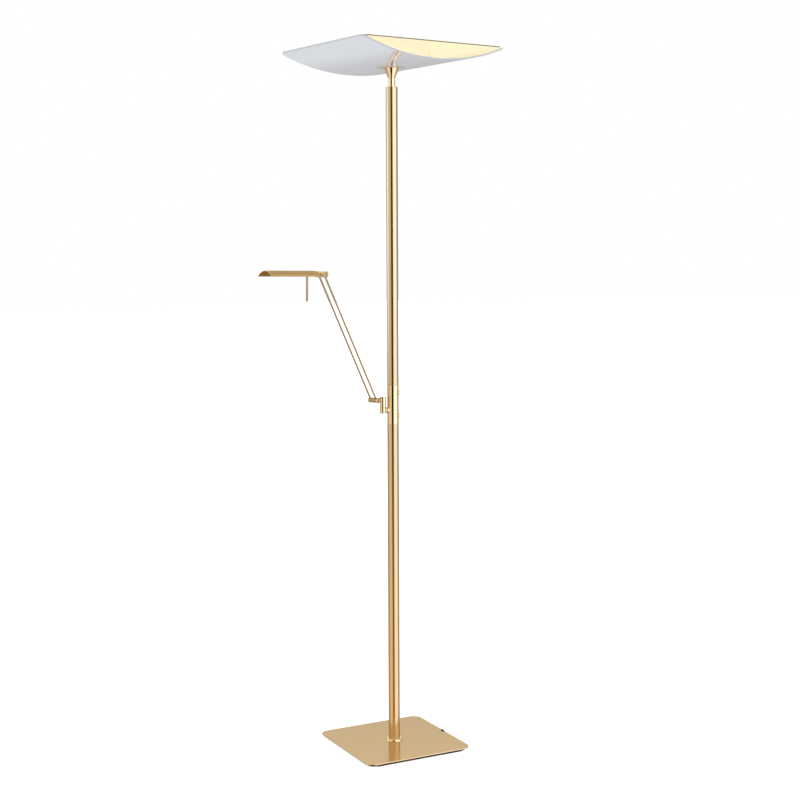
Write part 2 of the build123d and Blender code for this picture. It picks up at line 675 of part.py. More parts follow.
# ---- the whole lamp --------------------------------------------------------------------------------------
STAND = {
    "floor_pad": floor_pad(),
    "base_weight": base_weight(),
    "base_plate": base_plate(),
    "cable_gland": cable_gland(),
    "foot_ring": foot_ring(),
    "base_nipple": nipple(PLATE_Z - WASHER_T - NUT_T, PLATE_TOP + PLUG_L),
    "base_washer": base_washer(),
    "base_nut": nut(PLATE_Z - WASHER_T - NUT_T),
    "bottom_plug": bottom_plug(),
    "lower_pole": pole(PLATE_TOP, COLLAR_BOTTOM),
    "collar": collar(),
    "upper_pole": pole(COLLAR_TOP, POLE_TOP - CAP_T),
    "lower_sleeve": joining_sleeve(COLLAR_BOTTOM - SLEEVE_IN_POLE, COLLAR_BOTTOM + SLEEVE_IN_COLLAR),
    "upper_sleeve": joining_sleeve(COLLAR_TOP - SLEEVE_IN_COLLAR, COLLAR_TOP + SLEEVE_IN_POLE),
    "pole_cap": pole_cap(),
    "shade_neck": shade_neck(),
    "shade_cone": shade_cone(),
    "shade_nipple": nipple(POLE_TOP - CAP_T - CAP_SPIGOT, TRAY_BOTTOM + TRAY_FLOOR + NUT_T + NIPPLE_PROUD),
    "shade_nut": nut(TRAY_BOTTOM + TRAY_FLOOR),
    "control_board": control_board(),
    "switch_housing_lower": switch_housing(BUTTON_LEVELS["lower"]),
    "switch_housing_upper": switch_housing(BUTTON_LEVELS["upper"]),
    "button_lower": push_button(BUTTON_LEVELS["lower"]),
    "button_upper": push_button(BUTTON_LEVELS["upper"]),
    "arm_anchor": arm_anchor(),
    "arm_stub": arm_stub(),
    "swivel_knuckle": swivel_knuckle(),
    "swivel_pin": swivel_pin(),
}
UPLIGHT = {
    "shade_sheet": shade_sheet(),
    "shade_saddle": shade_saddle(),
    "uplight_tray": uplight_tray(),
    "uplight_driver": uplight_driver(),
    "uplight_board": slab(BOARD_SIDE, BOARD_SIDE, BOARD_CORNER, BOARD_Z, BOARD_Z + BOARD_T),
    "uplight_points": uplight_points(),
    "cover_posts": cover_posts(),
    "cover_plate": cover_plate(),
}
SWIVEL = {
    "swivel_barrel": swivel_barrel(),
    "barrel_set_screw": barrel_set_screw(),
    "elbow_link": elbow_link(),
}
ARM = {
    "elbow_screw": socket_screw(DISC_FACE + DISC_T, CROSS_END - SCREW_IN),
    "elbow_washer": elbow_washer(),
    "cross_tube": cross_tube(),
    "arm_rod_near": arm_rod(ROD_SIDES["near"]),
    "arm_rod_far": arm_rod(ROD_SIDES["far"]),
    "rod_eye_near": rod_eye(ROD_SIDES["near"]),
    "rod_eye_far": rod_eye(ROD_SIDES["far"]),
    "tilt_screw": socket_screw(EYE_OUTER, -EYE_OUTER, ROD_L),
    "tilt_washers": tilt_washers(),
}
HEAD = {
    "tilt_barrel": tilt_barrel(),
    "head_block": head_block(),
    "head_shell": head_shell(),
    "light_bar": light_bar(),
    "light_board": light_board(),
    "head_diffuser": head_diffuser(),
    "handle_pin": handle_pin(),
}
STILL = (STAND, Location()), (UPLIGHT, SHADE_FRAME)
MOVING = (SWIVEL, ARM_FRAME), (ARM, ROD_FRAME), (HEAD, HEAD_FRAME)

os.makedirs("parts", exist_ok=True)
for pieces, frame in STILL + MOVING:
    for name, shape in pieces.items():
        export_step(frame * shape, f"parts/{name}.step")
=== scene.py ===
"""Torchiere floor lamp with a reading arm: its finishes and visible pieces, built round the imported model.

Lengths are metres. The lamp stands at the origin with +Z up, and the foot's edges run along X and Y. The shade
is turned about Z against the foot. Levels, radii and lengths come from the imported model, and each class adds
the form that shows.
"""

from __future__ import annotations

import json
import logging
import math
from dataclasses import dataclass, field
from enum import Enum
from typing import Callable, Sequence

import bpy
from mathutils import Euler, Matrix, Vector

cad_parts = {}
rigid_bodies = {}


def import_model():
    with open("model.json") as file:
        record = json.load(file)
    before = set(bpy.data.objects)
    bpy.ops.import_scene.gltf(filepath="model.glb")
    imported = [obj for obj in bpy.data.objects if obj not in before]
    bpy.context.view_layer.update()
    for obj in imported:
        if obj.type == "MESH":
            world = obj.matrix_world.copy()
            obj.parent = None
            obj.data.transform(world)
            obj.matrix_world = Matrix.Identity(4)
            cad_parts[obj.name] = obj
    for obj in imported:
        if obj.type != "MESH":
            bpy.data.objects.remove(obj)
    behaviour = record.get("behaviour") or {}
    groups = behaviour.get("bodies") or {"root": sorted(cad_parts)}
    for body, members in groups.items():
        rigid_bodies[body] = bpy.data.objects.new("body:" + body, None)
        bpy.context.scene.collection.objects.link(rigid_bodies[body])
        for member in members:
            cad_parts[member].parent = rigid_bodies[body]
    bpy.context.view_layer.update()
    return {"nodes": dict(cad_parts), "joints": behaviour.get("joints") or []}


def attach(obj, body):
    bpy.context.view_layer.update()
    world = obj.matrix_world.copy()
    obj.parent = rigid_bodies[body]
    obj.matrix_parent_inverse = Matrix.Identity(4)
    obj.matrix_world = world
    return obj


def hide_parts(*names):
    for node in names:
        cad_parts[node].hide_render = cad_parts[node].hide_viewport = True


for stray in list(bpy.data.objects):
    bpy.data.objects.remove(stray)
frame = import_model()

log = logging.getLogger("lamp")

MM = 0.001
ROUND_SIDES = 96
SMALL_SIDES = 64
ROD_SIDES = 32
HEX_SIDES = 6
EDGE_ANGLE = 30.0
EDGE_STEPS = 3
THIN_STEPS = 2
OVERRUN = 2 * MM
TINY = MM / 1000

Colour = tuple[float, float, float]
Outline = Sequence[tuple[float, float]]
FaceTest = Callable[[Vector, Vector], bool]
Piece = bpy.types.Object
Tree = bpy.types.NodeTree
Socket = bpy.types.NodeSocket


class Body(Enum):
    """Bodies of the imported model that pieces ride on."""

    STAND = "stand"
    LOWER_BUTTON = "button_lower"
    UPPER_BUTTON = "button_upper"
    SWIVEL = "swivel"
    ARM = "arm"
    NECK = "head_neck"
    HEAD = "head"


class Finish(Enum):
    """Finishes of the lamp."""

    SATIN_BRASS = "satin_brass"
    # satin brass made darker: painted shade on the rods, cross tube and handle pin
    ROD_BRASS = "rod_brass"
    # satin brass a little darker, with dimmed edge reflections: painted shade on the head's crown
    HEAD_BRASS = "head_brass"
    # dark brown brass for the shell's inner faces: painted shade inside the head
    HEAD_INSIDE = "head_inside"
    POLISHED_BRASS = "polished_brass"
    STEEL = "steel"
    PLATED_STEEL = "plated_steel"
    # near black for the screw heads' hexagon sockets: painted shade in the recess
    DARK_SOCKET = "dark_socket"
    CAST_ALUMINIUM = "cast_aluminium"
    BLACK_PLASTIC = "plastic_black"
    DARK_WEIGHT = "dark_weight"
    FELT = "felt"
    SHADE_LACQUER = "shade_lacquer"
    # darker lacquer on the sheet's narrow edge: painted shade
    LACQUER_EDGE = "lacquer_edge"
    # glowing cover of the uplight; the cover posts wear it too, as painted light
    LIT_COVER = "lit_cover"
    COVER_SIDES = "cover_sides"
    WHITE_BOARD = "circuit_board"
    GREEN_BOARD = "circuit_green"
    LIGHT_POINTS = "light_points"
    OPAL_STRIP = "opal_strip"
    FRICTION_PLASTIC = "friction_plastic"

    @property
    def slot(self) -> str:
        """The record's slot that the finish comes under."""
        shared = {Finish.ROD_BRASS: Finish.SATIN_BRASS, Finish.HEAD_BRASS: Finish.SATIN_BRASS,
                  Finish.PLATED_STEEL: Finish.STEEL}
        return shared.get(self, self).value


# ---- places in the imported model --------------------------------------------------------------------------


def joint(name: str) -> dict:
    """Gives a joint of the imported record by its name."""
    return next(entry for entry in frame["joints"] if entry["name"] == name)


def axes(origin: Vector, out: Vector, side: Vector, up: Vector) -> Matrix:
    """Makes a setting from an origin and three directions.

    Args:
        origin: Place of the setting's own zero.
        out: Direction of its X.
        side: Direction of its Y.
        up: Direction of its Z.

    Returns:
        Matrix from the setting's coordinates to the lamp's.
    """
    return Matrix.Translation(origin) @ Matrix((out, side, up)).transposed().to_4x4()


def arm_setting() -> Matrix:
    """Setting on the swivel's axis: X outwards along the arm, Y along the elbow's axis."""
    side = Vector(joint("arm_lift")["axis"]).normalized()
    up = Vector((0, 0, 1))
    foot = Vector(joint("arm_swivel")["pos_m"])
    return axes(Vector((foot.x, foot.y, 0)), side.cross(up), side, up)


def rod_setting() -> Matrix:
    """Setting on the elbow's axis: Z along the rods, Y along the axis."""
    side = Vector(joint("arm_lift")["axis"]).normalized()
    elbow = Vector(joint("arm_lift")["pos_m"])
    up = (Vector(joint("head_tilt")["pos_m"]) - elbow).normalized()
    return axes(elbow, side.cross(up), side, up)


def head_setting() -> Matrix:
    """Setting on the tilt axis: X along the head, Y along the axis."""
    side = Vector(joint("head_tilt")["axis"]).normalized()
    out = Vector(joint("head_turn")["axis"]).normalized()
    return axes(Vector(joint("head_tilt")["pos_m"]), out, side, out.cross(side))


def moved(x: float = 0, y: float = 0, z: float = 0) -> Matrix:
    """Setting that is only moved."""
    return Matrix.Translation((x, y, z))


@dataclass(frozen=True)
class Extent:
    """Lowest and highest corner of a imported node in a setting's own axes."""

    low: Vector
    high: Vector

    @classmethod
    def of(cls, node: str, setting: Matrix = Matrix()) -> "Extent":
        """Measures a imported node.

        Args:
            node: Name of the node.
            setting: Axes that it is measured along.

        Returns:
            The node's extent.
        """
        inverse = setting.inverted()
        points = [inverse @ vertex.co for vertex in frame["nodes"][node].data.vertices]
        spans = list(zip(*points))
        return cls(Vector(min(span) for span in spans), Vector(max(span) for span in spans))

    @property
    def half(self) -> Vector:
        """Half the length along each axis, which is a round node's radius."""
        return (self.high - self.low) / 2

    @property
    def middle(self) -> Vector:
        """Centre of the box."""
        return (self.low + self.high) / 2


TO_Y = Matrix.Rotation(math.radians(-90), 4, "X")
TO_X = Matrix.Rotation(math.radians(90), 4, "Y")
TO_MINUS_X = Matrix.Rotation(math.radians(-90), 4, "Y")


# ---- modelling steps -------------------------------------------------------------------------------------


def sleeve(inner: float, outer: float, low: float, high: float) -> Outline:
    """Outline of a plain ring or tube between two radii and two heights."""
    return (inner, low), (outer, low), (outer, high), (inner, high)


def rounded_end(
    radius: float, rounding: float, low: float, steps: int, first: int = 0
) -> list[tuple[float, float]]:
    """Outline of a rod's rounded lower end.

    Args:
        radius: The rod's radius.
        rounding: Radius of the rounding.
        low: Height of the end.
        steps: Faces from the end to the side.
        first: Step that the outline starts with.

    Returns:
        (radius, height) of each ring.
    """
    angles = (math.pi / 2 * step / steps for step in range(first, steps + 1))
    inset, centre = radius - rounding, low + rounding
    return [(inset + rounding * math.sin(angle), centre - rounding * math.cos(angle)) for angle in angles]


class Bench:
    """Modelling steps that the pieces share. Each one starts and ends in object mode."""

    @staticmethod
    def clear() -> None:
        """Leaves nothing selected."""
        bpy.ops.object.select_all(action="DESELECT")

    @staticmethod
    def take(piece: Piece) -> None:
        """Selects one object alone and makes it active."""
        Bench.clear()
        piece.select_set(True)
        bpy.context.view_layer.objects.active = piece

    @staticmethod
    def edit(piece: Piece) -> None:
        """Opens an object to edit its edges, with nothing selected."""
        Bench.take(piece)
        bpy.ops.object.mode_set(mode="EDIT")
        bpy.ops.mesh.select_mode(type="EDGE")
        bpy.ops.mesh.select_all(action="DESELECT")

    @staticmethod
    def close() -> None:
        """Goes back to object mode."""
        bpy.ops.object.mode_set(mode="OBJECT")

    @staticmethod
    def outward() -> None:
        """Turns all faces of the object in edit mode outwards."""
        bpy.ops.mesh.select_all(action="SELECT")
        bpy.ops.mesh.remove_doubles(threshold=TINY)
        bpy.ops.mesh.normals_make_consistent(inside=False)

    @staticmethod
    def turned(name: str, outline: Outline, hollow: bool = False, sides: int = ROUND_SIDES) -> Piece:
        """Turns an outline about Z, ring by ring.

        Args:
            name: Name of the new object.
            outline: (radius, height) of each ring, from the first to the last.
            hollow: Whether the last ring closes onto the first, as round a bore.
            sides: Sides of each ring.

        Returns:
            The new object.
        """
        Bench.clear()
        (radius, height), *rest = outline
        bpy.ops.mesh.primitive_circle_add(
            vertices=sides, radius=radius, location=(0, 0, height), fill_type="NOTHING" if hollow else "NGON"
        )
        piece = bpy.context.object
        piece.name = name
        bpy.ops.object.mode_set(mode="EDIT")
        bpy.ops.mesh.select_mode(type="EDGE")
        bpy.ops.mesh.select_all(action="SELECT")
        for next_radius, next_height in rest:
            bpy.ops.mesh.extrude_region_move()
            share = next_radius / radius
            bpy.ops.transform.resize(value=(share, share, 1), center_override=(0, 0, height))
            bpy.ops.transform.translate(value=(0, 0, next_height - height))
            radius, height = next_radius, next_height
        if hollow:
            bpy.ops.mesh.select_all(action="DESELECT")
            bpy.ops.mesh.select_non_manifold(use_wire=False, use_multi_face=False, use_non_contiguous=False)
            bpy.ops.mesh.bridge_edge_loops()
        Bench.outward()
        Bench.close()
        Bench.settle(piece)
        return piece

    @staticmethod
    def block(name: str, low: Vector, high: Vector) -> Piece:
        """Adds a block between two corners."""
        Bench.clear()
        bpy.ops.mesh.primitive_cube_add(size=1, location=(low + high) / 2, scale=high - low)
        piece = bpy.context.object
        piece.name = name
        Bench.settle(piece)
        return piece

    @staticmethod
    def slab(name: str, low: Vector, high: Vector, corner: float, steps: int = 12) -> Piece:
        """Adds a flat plate with rounded corners.

        Args:
            name: Name of the new object.
            low: Its lowest corner.
            high: Its highest corner.
            corner: Radius of the upright edges.
            steps: Faces round each of them.

        Returns:
            The new object.
        """
        piece = Bench.block(name, low, high)
        Bench.edit(piece)
        Bench.close()
        mesh = piece.data
        for edge in mesh.edges:
            start, end = (mesh.vertices[index].co for index in edge.vertices)
            edge.select = (start - end).xy.length < TINY
        bpy.ops.object.mode_set(mode="EDIT")
        bpy.ops.mesh.bevel(offset=corner, segments=steps, affect="EDGES")
        Bench.close()
        return piece

    @staticmethod
    def trim(piece: Piece, height: float, keep_above: bool) -> None:
        """Cuts an object level and closes the cut.

        Args:
            piece: Object to cut.
            height: Height of the cut.
            keep_above: Whether what is above it is kept, and not what is below.
        """
        Bench.edit(piece)
        bpy.ops.mesh.select_all(action="SELECT")
        bpy.ops.mesh.bisect(
            plane_co=(0, 0, height), plane_no=(0, 0, 1), use_fill=True,
            clear_inner=keep_above, clear_outer=not keep_above,
        )
        Bench.outward()
        Bench.close()

    @staticmethod
    def apply(piece: Piece, kind: str, **settings: object) -> None:
        """Adds a modifier with its settings and applies it.

        Args:
            piece: Object that it changes.
            kind: Type of the modifier.
            **settings: Its properties.
        """
        Bench.take(piece)
        modifier = piece.modifiers.new(kind.lower(), kind)
        for key, value in settings.items():
            setattr(modifier, key, value)
        bpy.ops.object.modifier_apply(modifier=modifier.name)

    @staticmethod
    def cut(piece: Piece, tool: Piece, operation: str = "DIFFERENCE") -> None:
        """Cuts, trims or joins an object with another, which is used up."""
        Bench.apply(piece, "BOOLEAN", object=tool, operation=operation, solver="EXACT")
        bpy.data.objects.remove(tool)

    @staticmethod
    def soften(piece: Piece, width: float, angle: float = EDGE_ANGLE, steps: int = EDGE_STEPS) -> None:
        """Rounds every edge that is sharper than an angle, and smooths the rest.

        Args:
            piece: Object to finish.
            width: Width of the rounding.
            angle: Least turn in degrees that counts as an edge.
            steps: Faces across the rounding.
        """
        Bench.take(piece)
        bpy.ops.object.shade_smooth()
        Bench.apply(
            piece, "BEVEL", width=width, segments=steps, limit_method="ANGLE",
            angle_limit=math.radians(angle), harden_normals=True,
        )

    @staticmethod
    def smooth(piece: Piece, angle: float = 35.0) -> None:
        """Shades an object smooth, but for edges sharper than an angle."""
        Bench.take(piece)
        bpy.ops.object.shade_smooth_by_angle(angle=math.radians(angle))

    @staticmethod
    def settle(piece: Piece, setting: Matrix = Matrix()) -> None:
        """Puts an object in a setting and its place into its mesh."""
        Bench.take(piece)
        piece.matrix_world = setting @ piece.matrix_world
        bpy.ops.object.transform_apply(location=True, rotation=True, scale=True)


# ---- shader groups and finishes --------------------------------------------------------------------------


class Sockets:
    """Builds shader node groups and wires nodes."""

    @staticmethod
    def group(name: str, inputs: dict[str, str], outputs: dict[str, str]) -> Tree:
        """Makes an empty shader group with named sockets.

        Args:
            name: Name of the group.
            inputs: Socket type of each input.
            outputs: Socket type of each output.

        Returns:
            The group's node tree.
        """
        tree = bpy.data.node_groups.new(name, "ShaderNodeTree")
        for side, sockets in (("INPUT", inputs), ("OUTPUT", outputs)):
            for label, kind in sockets.items():
                tree.interface.new_socket(label, in_out=side, socket_type=f"NodeSocket{kind}")
        tree.nodes.new("NodeGroupInput").name = "in"
        tree.nodes.new("NodeGroupOutput").name = "out"
        return tree

    @staticmethod
    def node(tree: Tree, kind: str, **values: object) -> bpy.types.Node:
        """Adds a node, sets its properties and fills its inputs.

        Args:
            tree: Tree that gets the node.
            kind: Node type without the ShaderNode prefix.
            **values: Property values, or input values and sockets under the input's name with _ for a space.

        Returns:
            The new node.
        """
        node = tree.nodes.new(f"ShaderNode{kind}")
        for key, value in values.items():
            if hasattr(node, key):
                setattr(node, key, value)
        for key, value in values.items():
            if not hasattr(node, key):
                Sockets.fill(tree, node, key.replace("_", " "), value)
        return node

    @staticmethod
    def fill(tree: Tree, node: bpy.types.Node, label: str, value: object) -> None:
        """Links a socket to a node's free input of that name or number, or sets the input's value."""
        numbered = label.isdigit()
        free = node.inputs[int(label)] if numbered else next(
            socket for socket in node.inputs if socket.name == label and socket.enabled
        )
        if isinstance(value, Socket):
            tree.links.new(value, free)
        else:
            free.default_value = (*value, 1) if isinstance(value, tuple) and free.type == "RGBA" else value

    @staticmethod
    def maths(tree: Tree, operation: str, first: object, second: object) -> Socket:
        """Works out one value from two."""
        node = tree.nodes.new("ShaderNodeMath")
        node.operation = operation
        Sockets.fill(tree, node, "0", first)
        Sockets.fill(tree, node, "1", second)
        return node.outputs[0]

    @staticmethod
    def blend(tree: Tree, share: object, first: object, second: object, kind: str = "MIX") -> Socket:
        """Mixes two colours by a share."""
        node = Sockets.node(tree, "Mix", data_type="RGBA", blend_type=kind)
        for label, value in (("0", share), ("6", first), ("7", second)):
            Sockets.fill(tree, node, label, value)
        return node.outputs[2]


class Effects:
    """Surface effects that more than one finish uses, each built once."""

    DEEP_FROM = 0.6
    MEAN = 1.0
    SLOW_ROUGHNESS = 0.5

    def __init__(self) -> None:
        """Builds the drawn lines of metal, and the unevenness of sprayed, moulded and felted surfaces."""
        self.grain = self.pattern(
            "metal_grain", {"Lines": "Vector"}, (11.0, 2.0),
            Vector="Lines", Scale=1.0, Detail=3.0, Roughness=0.6,
        )
        self.mottle = self.pattern(
            "fine_mottle", {"Scale": "Float"}, (6.0, 1.0),
            Vector="Place", Scale="Scale", Detail=4.0, Roughness=0.55,
        )

    @staticmethod
    def pattern(name: str, own: dict[str, str], slow: tuple[float, float], **fine: object) -> Tree:
        """Builds a group that varies a colour and a roughness by a fine and a slow noise.

        Args:
            name: Name of the group.
            own: Inputs that only this group has.
            slow: Scale and detail of the slow noise.
            **fine: Values of the fine noise's inputs, or names of the group's inputs that feed them.

        Returns:
            The group's node tree.
        """
        shared = {"Place": "Vector", "Base": "Color", "Deep": "Color", "Contrast": "Float",
                  "Roughness": "Float", "Spread": "Float"}
        tree = Sockets.group(name, own | shared, {"Color": "Color", "Roughness": "Float", "Height": "Float"})
        given, made = tree.nodes["in"].outputs, tree.nodes["out"]
        fed = {label: given[value] if isinstance(value, str) else value for label, value in fine.items()}
        near = Sockets.node(tree, "TexNoise", **fed).outputs[0]
        scale, detail = slow
        far = Sockets.node(
            tree, "TexNoise", Vector=given["Place"], Scale=scale, Detail=detail, Roughness=Effects.SLOW_ROUGHNESS
        )
        both = Sockets.maths(tree, "ADD", near, far.outputs[0])
        past = Sockets.maths(tree, "SUBTRACT", both, Effects.DEEP_FROM)
        share = Sockets.maths(tree, "MULTIPLY", past, given["Contrast"])
        clamped = Sockets.maths(tree, "MINIMUM", Sockets.maths(tree, "MAXIMUM", share, 0.0), 1.0)
        swing = Sockets.maths(tree, "SUBTRACT", both, Effects.MEAN)
        drift = Sockets.maths(tree, "MULTIPLY", swing, given["Spread"])
        tree.links.new(Sockets.blend(tree, clamped, given["Base"], given["Deep"]), made.inputs["Color"])
        tree.links.new(Sockets.maths(tree, "ADD", given["Roughness"], drift), made.inputs["Roughness"])
        tree.links.new(near, made.inputs["Height"])
        return tree


class Surface:
    """One material with a lone shader, and the pattern that feeds it."""

    def __init__(self, name: str) -> None:
        """Makes the material."""
        self.material = bpy.data.materials.new(name)
        self.material.use_nodes = True
        self.tree = self.material.node_tree
        self.shader = self.tree.nodes["Principled BSDF"]

    def place(self) -> Socket:
        """Gives the place on the piece."""
        return Sockets.node(self.tree, "TexCoord").outputs["Object"]

    def wear(self, group: Tree, strength: float, depth: float, given: dict[str, object]) -> None:
        """Feeds a group's colour, roughness and relief to the shader.

        Args:
            group: The pattern.
            strength: Strength of its relief.
            depth: Depth of its relief.
            given: Values of its inputs.
        """
        pattern = self.tree.nodes.new("ShaderNodeGroup")
        pattern.node_tree = group
        for label, value in given.items():
            Sockets.fill(self.tree, pattern, label, value)
        height = pattern.outputs["Height"]
        relief = Sockets.node(self.tree, "Bump", Strength=strength, Distance=depth, Height=height)
        fed = {"Base Color": pattern.outputs["Color"], "Roughness": pattern.outputs["Roughness"],
               "Normal": relief.outputs[0]}
        for label, socket in fed.items():
            self.tree.links.new(socket, self.shader.inputs[label])

    def set(self, **values: object) -> None:
        """Sets plain values on the shader's own sockets."""
        for key, value in values.items():
            Sockets.fill(self.tree, self.shader, key.replace("_", " "), value)


@dataclass(frozen=True)
class Metal:
    """Metal with fine drawn lines: across the axis of a turned or drawn piece, which is Z in its setting."""

    name: str
    base: Colour
    deep: Colour
    contrast: float
    roughness: float
    spread: float
    pitch: float
    bump: float
    glancing: Colour = (1.0, 1.0, 1.0)
    stretch: float = 150.0
    relief: float = 0.02 * MM

    def build(self, effects: Effects, turn: Euler = Euler()) -> bpy.types.Material:
        """Builds the material.

        Args:
            effects: Shared effects.
            turn: Turn of the mapping that brings the piece's setting upright.

        Returns:
            The material.
        """
        surface = Surface(self.name)
        place = surface.place()
        along = Sockets.node(surface.tree, "Mapping", Vector=place, Rotation=turn)
        fine = 1 / self.pitch
        scale = Vector((fine / self.stretch, fine / self.stretch, fine))
        lines = Sockets.node(surface.tree, "Mapping", Vector=along.outputs[0], Scale=scale)
        surface.set(Metallic=1.0, Specular_Tint=self.glancing)
        surface.wear(effects.grain, self.bump, self.relief, {
            "Lines": lines.outputs[0], "Place": place, "Base": self.base, "Deep": self.deep,
            "Contrast": self.contrast, "Roughness": self.roughness, "Spread": self.spread,
        })
        return surface.material


@dataclass(frozen=True)
class Coating:
    """Paint, plastic, felt or board with a fine unevenness."""

    name: str
    base: Colour
    deep: Colour
    roughness: float
    contrast: float = 0.5
    spread: float = 0.1
    scale: float = 900.0
    bump: float = 0.2
    relief: float = 0.03 * MM
    coat: float = 0.0
    coat_roughness: float = 0.02
    sheen: float = 0.0
    metallic: float = 0.0
    glow: float = 0.0
    glow_colour: Colour = (1.0, 1.0, 1.0)

    def build(self, effects: Effects) -> bpy.types.Material:
        """Builds the material."""
        surface = Surface(self.name)
        surface.wear(effects.mottle, self.bump, self.relief, {
            "Place": surface.place(), "Scale": self.scale, "Base": self.base, "Deep": self.deep,
            "Contrast": self.contrast, "Roughness": self.roughness, "Spread": self.spread,
        })
        surface.set(
            Coat_Weight=self.coat, Coat_Roughness=self.coat_roughness, Sheen_Weight=self.sheen,
            Metallic=self.metallic, Emission_Strength=self.glow, Emission_Color=self.glow_colour,
        )
        return surface.material


class Palette:
    """Every finish of the lamp, with the brushed ones turned to each setting."""

    METALS = {
        Finish.SATIN_BRASS: Metal(
            "satin_brass", (0.66, 0.49, 0.265), (0.6, 0.435, 0.225), 0.35, 0.17, 0.04, 0.35 * MM, 0.05,
            (0.87, 0.86, 0.82),
        ),
        # darker copy of the satin brass: painted shade on the arm's rods, cross tube and handle pin
        Finish.ROD_BRASS: Metal(
            "rod_brass", (0.45, 0.32, 0.145), (0.39, 0.27, 0.115), 0.35, 0.22, 0.05, 0.35 * MM, 0.05
        ),
        # darker copy of the satin brass with dimmed edge reflections: painted shade on the head's crown
        Finish.HEAD_BRASS: Metal(
            "head_brass", (0.63, 0.45, 0.23), (0.56, 0.39, 0.185), 0.35, 0.22, 0.05, 0.35 * MM, 0.05,
            (0.6, 0.52, 0.45),
        ),
        # dark brown copy of the brass for the shell's inner faces: painted shade inside the head
        Finish.HEAD_INSIDE: Metal(
            "head_inside", (0.42, 0.25, 0.09), (0.3, 0.17, 0.055), 0.5, 0.35, 0.08, 0.5 * MM, 0.1,
            (0.6, 0.45, 0.25),
        ),
        Finish.POLISHED_BRASS: Metal(
            "polished_brass", (0.82, 0.61, 0.33), (0.77, 0.56, 0.285), 0.3, 0.05, 0.02, 0.2 * MM, 0.02
        ),
        Finish.STEEL: Metal(
            "zinc_steel", (0.56, 0.56, 0.57), (0.42, 0.42, 0.44), 0.5, 0.32, 0.1, 0.4 * MM, 0.15
        ),
        Finish.PLATED_STEEL: Metal(
            "plated_steel", (0.9, 0.7, 0.4), (0.78, 0.58, 0.31), 0.5, 0.25, 0.08, 0.3 * MM, 0.08
        ),
    }

    COATINGS = {
        Finish.CAST_ALUMINIUM: Coating(
            "cast_aluminium", (0.62, 0.62, 0.62), (0.5, 0.5, 0.51), 0.45, scale=600.0, bump=0.4, metallic=1.0
        ),
        Finish.BLACK_PLASTIC: Coating(
            "black_plastic", (0.03, 0.03, 0.03), (0.018, 0.018, 0.018), 0.45, bump=0.3
        ),
        Finish.DARK_WEIGHT: Coating(
            "dark_weight", (0.03, 0.014, 0.008), (0.02, 0.01, 0.006), 0.7, scale=500.0, bump=0.3
        ),
        Finish.FELT: Coating(
            "felt", (0.05, 0.042, 0.04), (0.02, 0.018, 0.017), 0.95, contrast=1.2, scale=1500.0, bump=0.9,
            relief=0.2 * MM, sheen=0.4,
        ),
        Finish.SHADE_LACQUER: Coating(
            "shade_lacquer", (0.78, 0.80, 0.83), (0.74, 0.76, 0.79), 0.14, contrast=0.3, spread=0.03,
            scale=420.0, bump=0.01, coat=1.0,
        ),
        # the lacquer made darker for the sheet's rim faces: painted shade on its narrow edge
        Finish.LACQUER_EDGE: Coating(
            "lacquer_edge", (0.57, 0.575, 0.585), (0.53, 0.535, 0.55), 0.35, contrast=0.3, scale=420.0,
            bump=0.02,
        ),
        Finish.LIT_COVER: Coating(
            "lit_cover", (0.25, 0.22, 0.15), (0.235, 0.205, 0.135), 0.4, contrast=0.3, scale=300.0, bump=0.02,
            glow=0.77, glow_colour=(1.0, 0.875, 0.6),
        ),
        Finish.COVER_SIDES: Coating(
            "cover_sides", (0.22, 0.16, 0.09), (0.18, 0.13, 0.07), 0.45, contrast=0.3, scale=300.0
        ),
        # near black for the hexagon sockets: painted shade in the recess, not the steel's own colour
        Finish.DARK_SOCKET: Coating(
            "dark_socket", (0.012, 0.009, 0.006), (0.006, 0.005, 0.004), 0.5, bump=0.1
        ),
        Finish.WHITE_BOARD: Coating("white_board", (0.86, 0.86, 0.84), (0.78, 0.78, 0.76), 0.4, scale=700.0),
        Finish.GREEN_BOARD: Coating(
            "green_board", (0.02, 0.17, 0.07), (0.012, 0.11, 0.045), 0.3, scale=450.0
        ),
        Finish.LIGHT_POINTS: Coating(
            "light_points", (0.95, 0.78, 0.3), (0.9, 0.7, 0.22), 0.5, glow=1.0, glow_colour=(1.0, 0.86, 0.55)
        ),
        Finish.OPAL_STRIP: Coating(
            "opal_strip", (0.86, 0.84, 0.78), (0.8, 0.78, 0.72), 0.35, scale=350.0, bump=0.08,
            glow=0.25, glow_colour=(1.0, 0.9, 0.7),
        ),
        Finish.FRICTION_PLASTIC: Coating("friction_plastic", (0.6, 0.56, 0.48), (0.5, 0.47, 0.4), 0.5),
    }

    def __init__(self) -> None:
        """Builds the materials."""
        effects = Effects()
        along_head = head_setting() @ TO_Y
        settings = {
            Finish.ROD_BRASS: rod_setting(), Finish.HEAD_BRASS: along_head, Finish.HEAD_INSIDE: along_head,
        }
        self.made = {finish: coating.build(effects) for finish, coating in self.COATINGS.items()}
        for finish, metal in self.METALS.items():
            self.made[finish] = metal.build(effects, settings.get(finish, Matrix()).inverted().to_euler())
        log.info("made %d finishes", len(self.made))

    def patch(self, piece: Piece, first: Finish, second: Finish, wanted: FaceTest) -> None:
        """Gives a piece one finish, and some of its faces another.

        Args:
            piece: Object to dress.
            first: Its main finish.
            second: Finish of the faces that pass the test.
            wanted: Test of a face's centre and normal.
        """
        for finish in (first, second):
            piece.data.materials.append(self.made[finish])
        for face in piece.data.polygons:
            face.material_index = int(wanted(face.center, face.normal))

    def dress(self, piece: Piece, finish: Finish) -> None:
        """Gives an object one finish all over."""
        material = self.made[finish]
        if piece.data.materials:
            for index in range(len(piece.data.materials)):
                piece.data.materials[index] = material
        else:
            piece.data.materials.append(material)


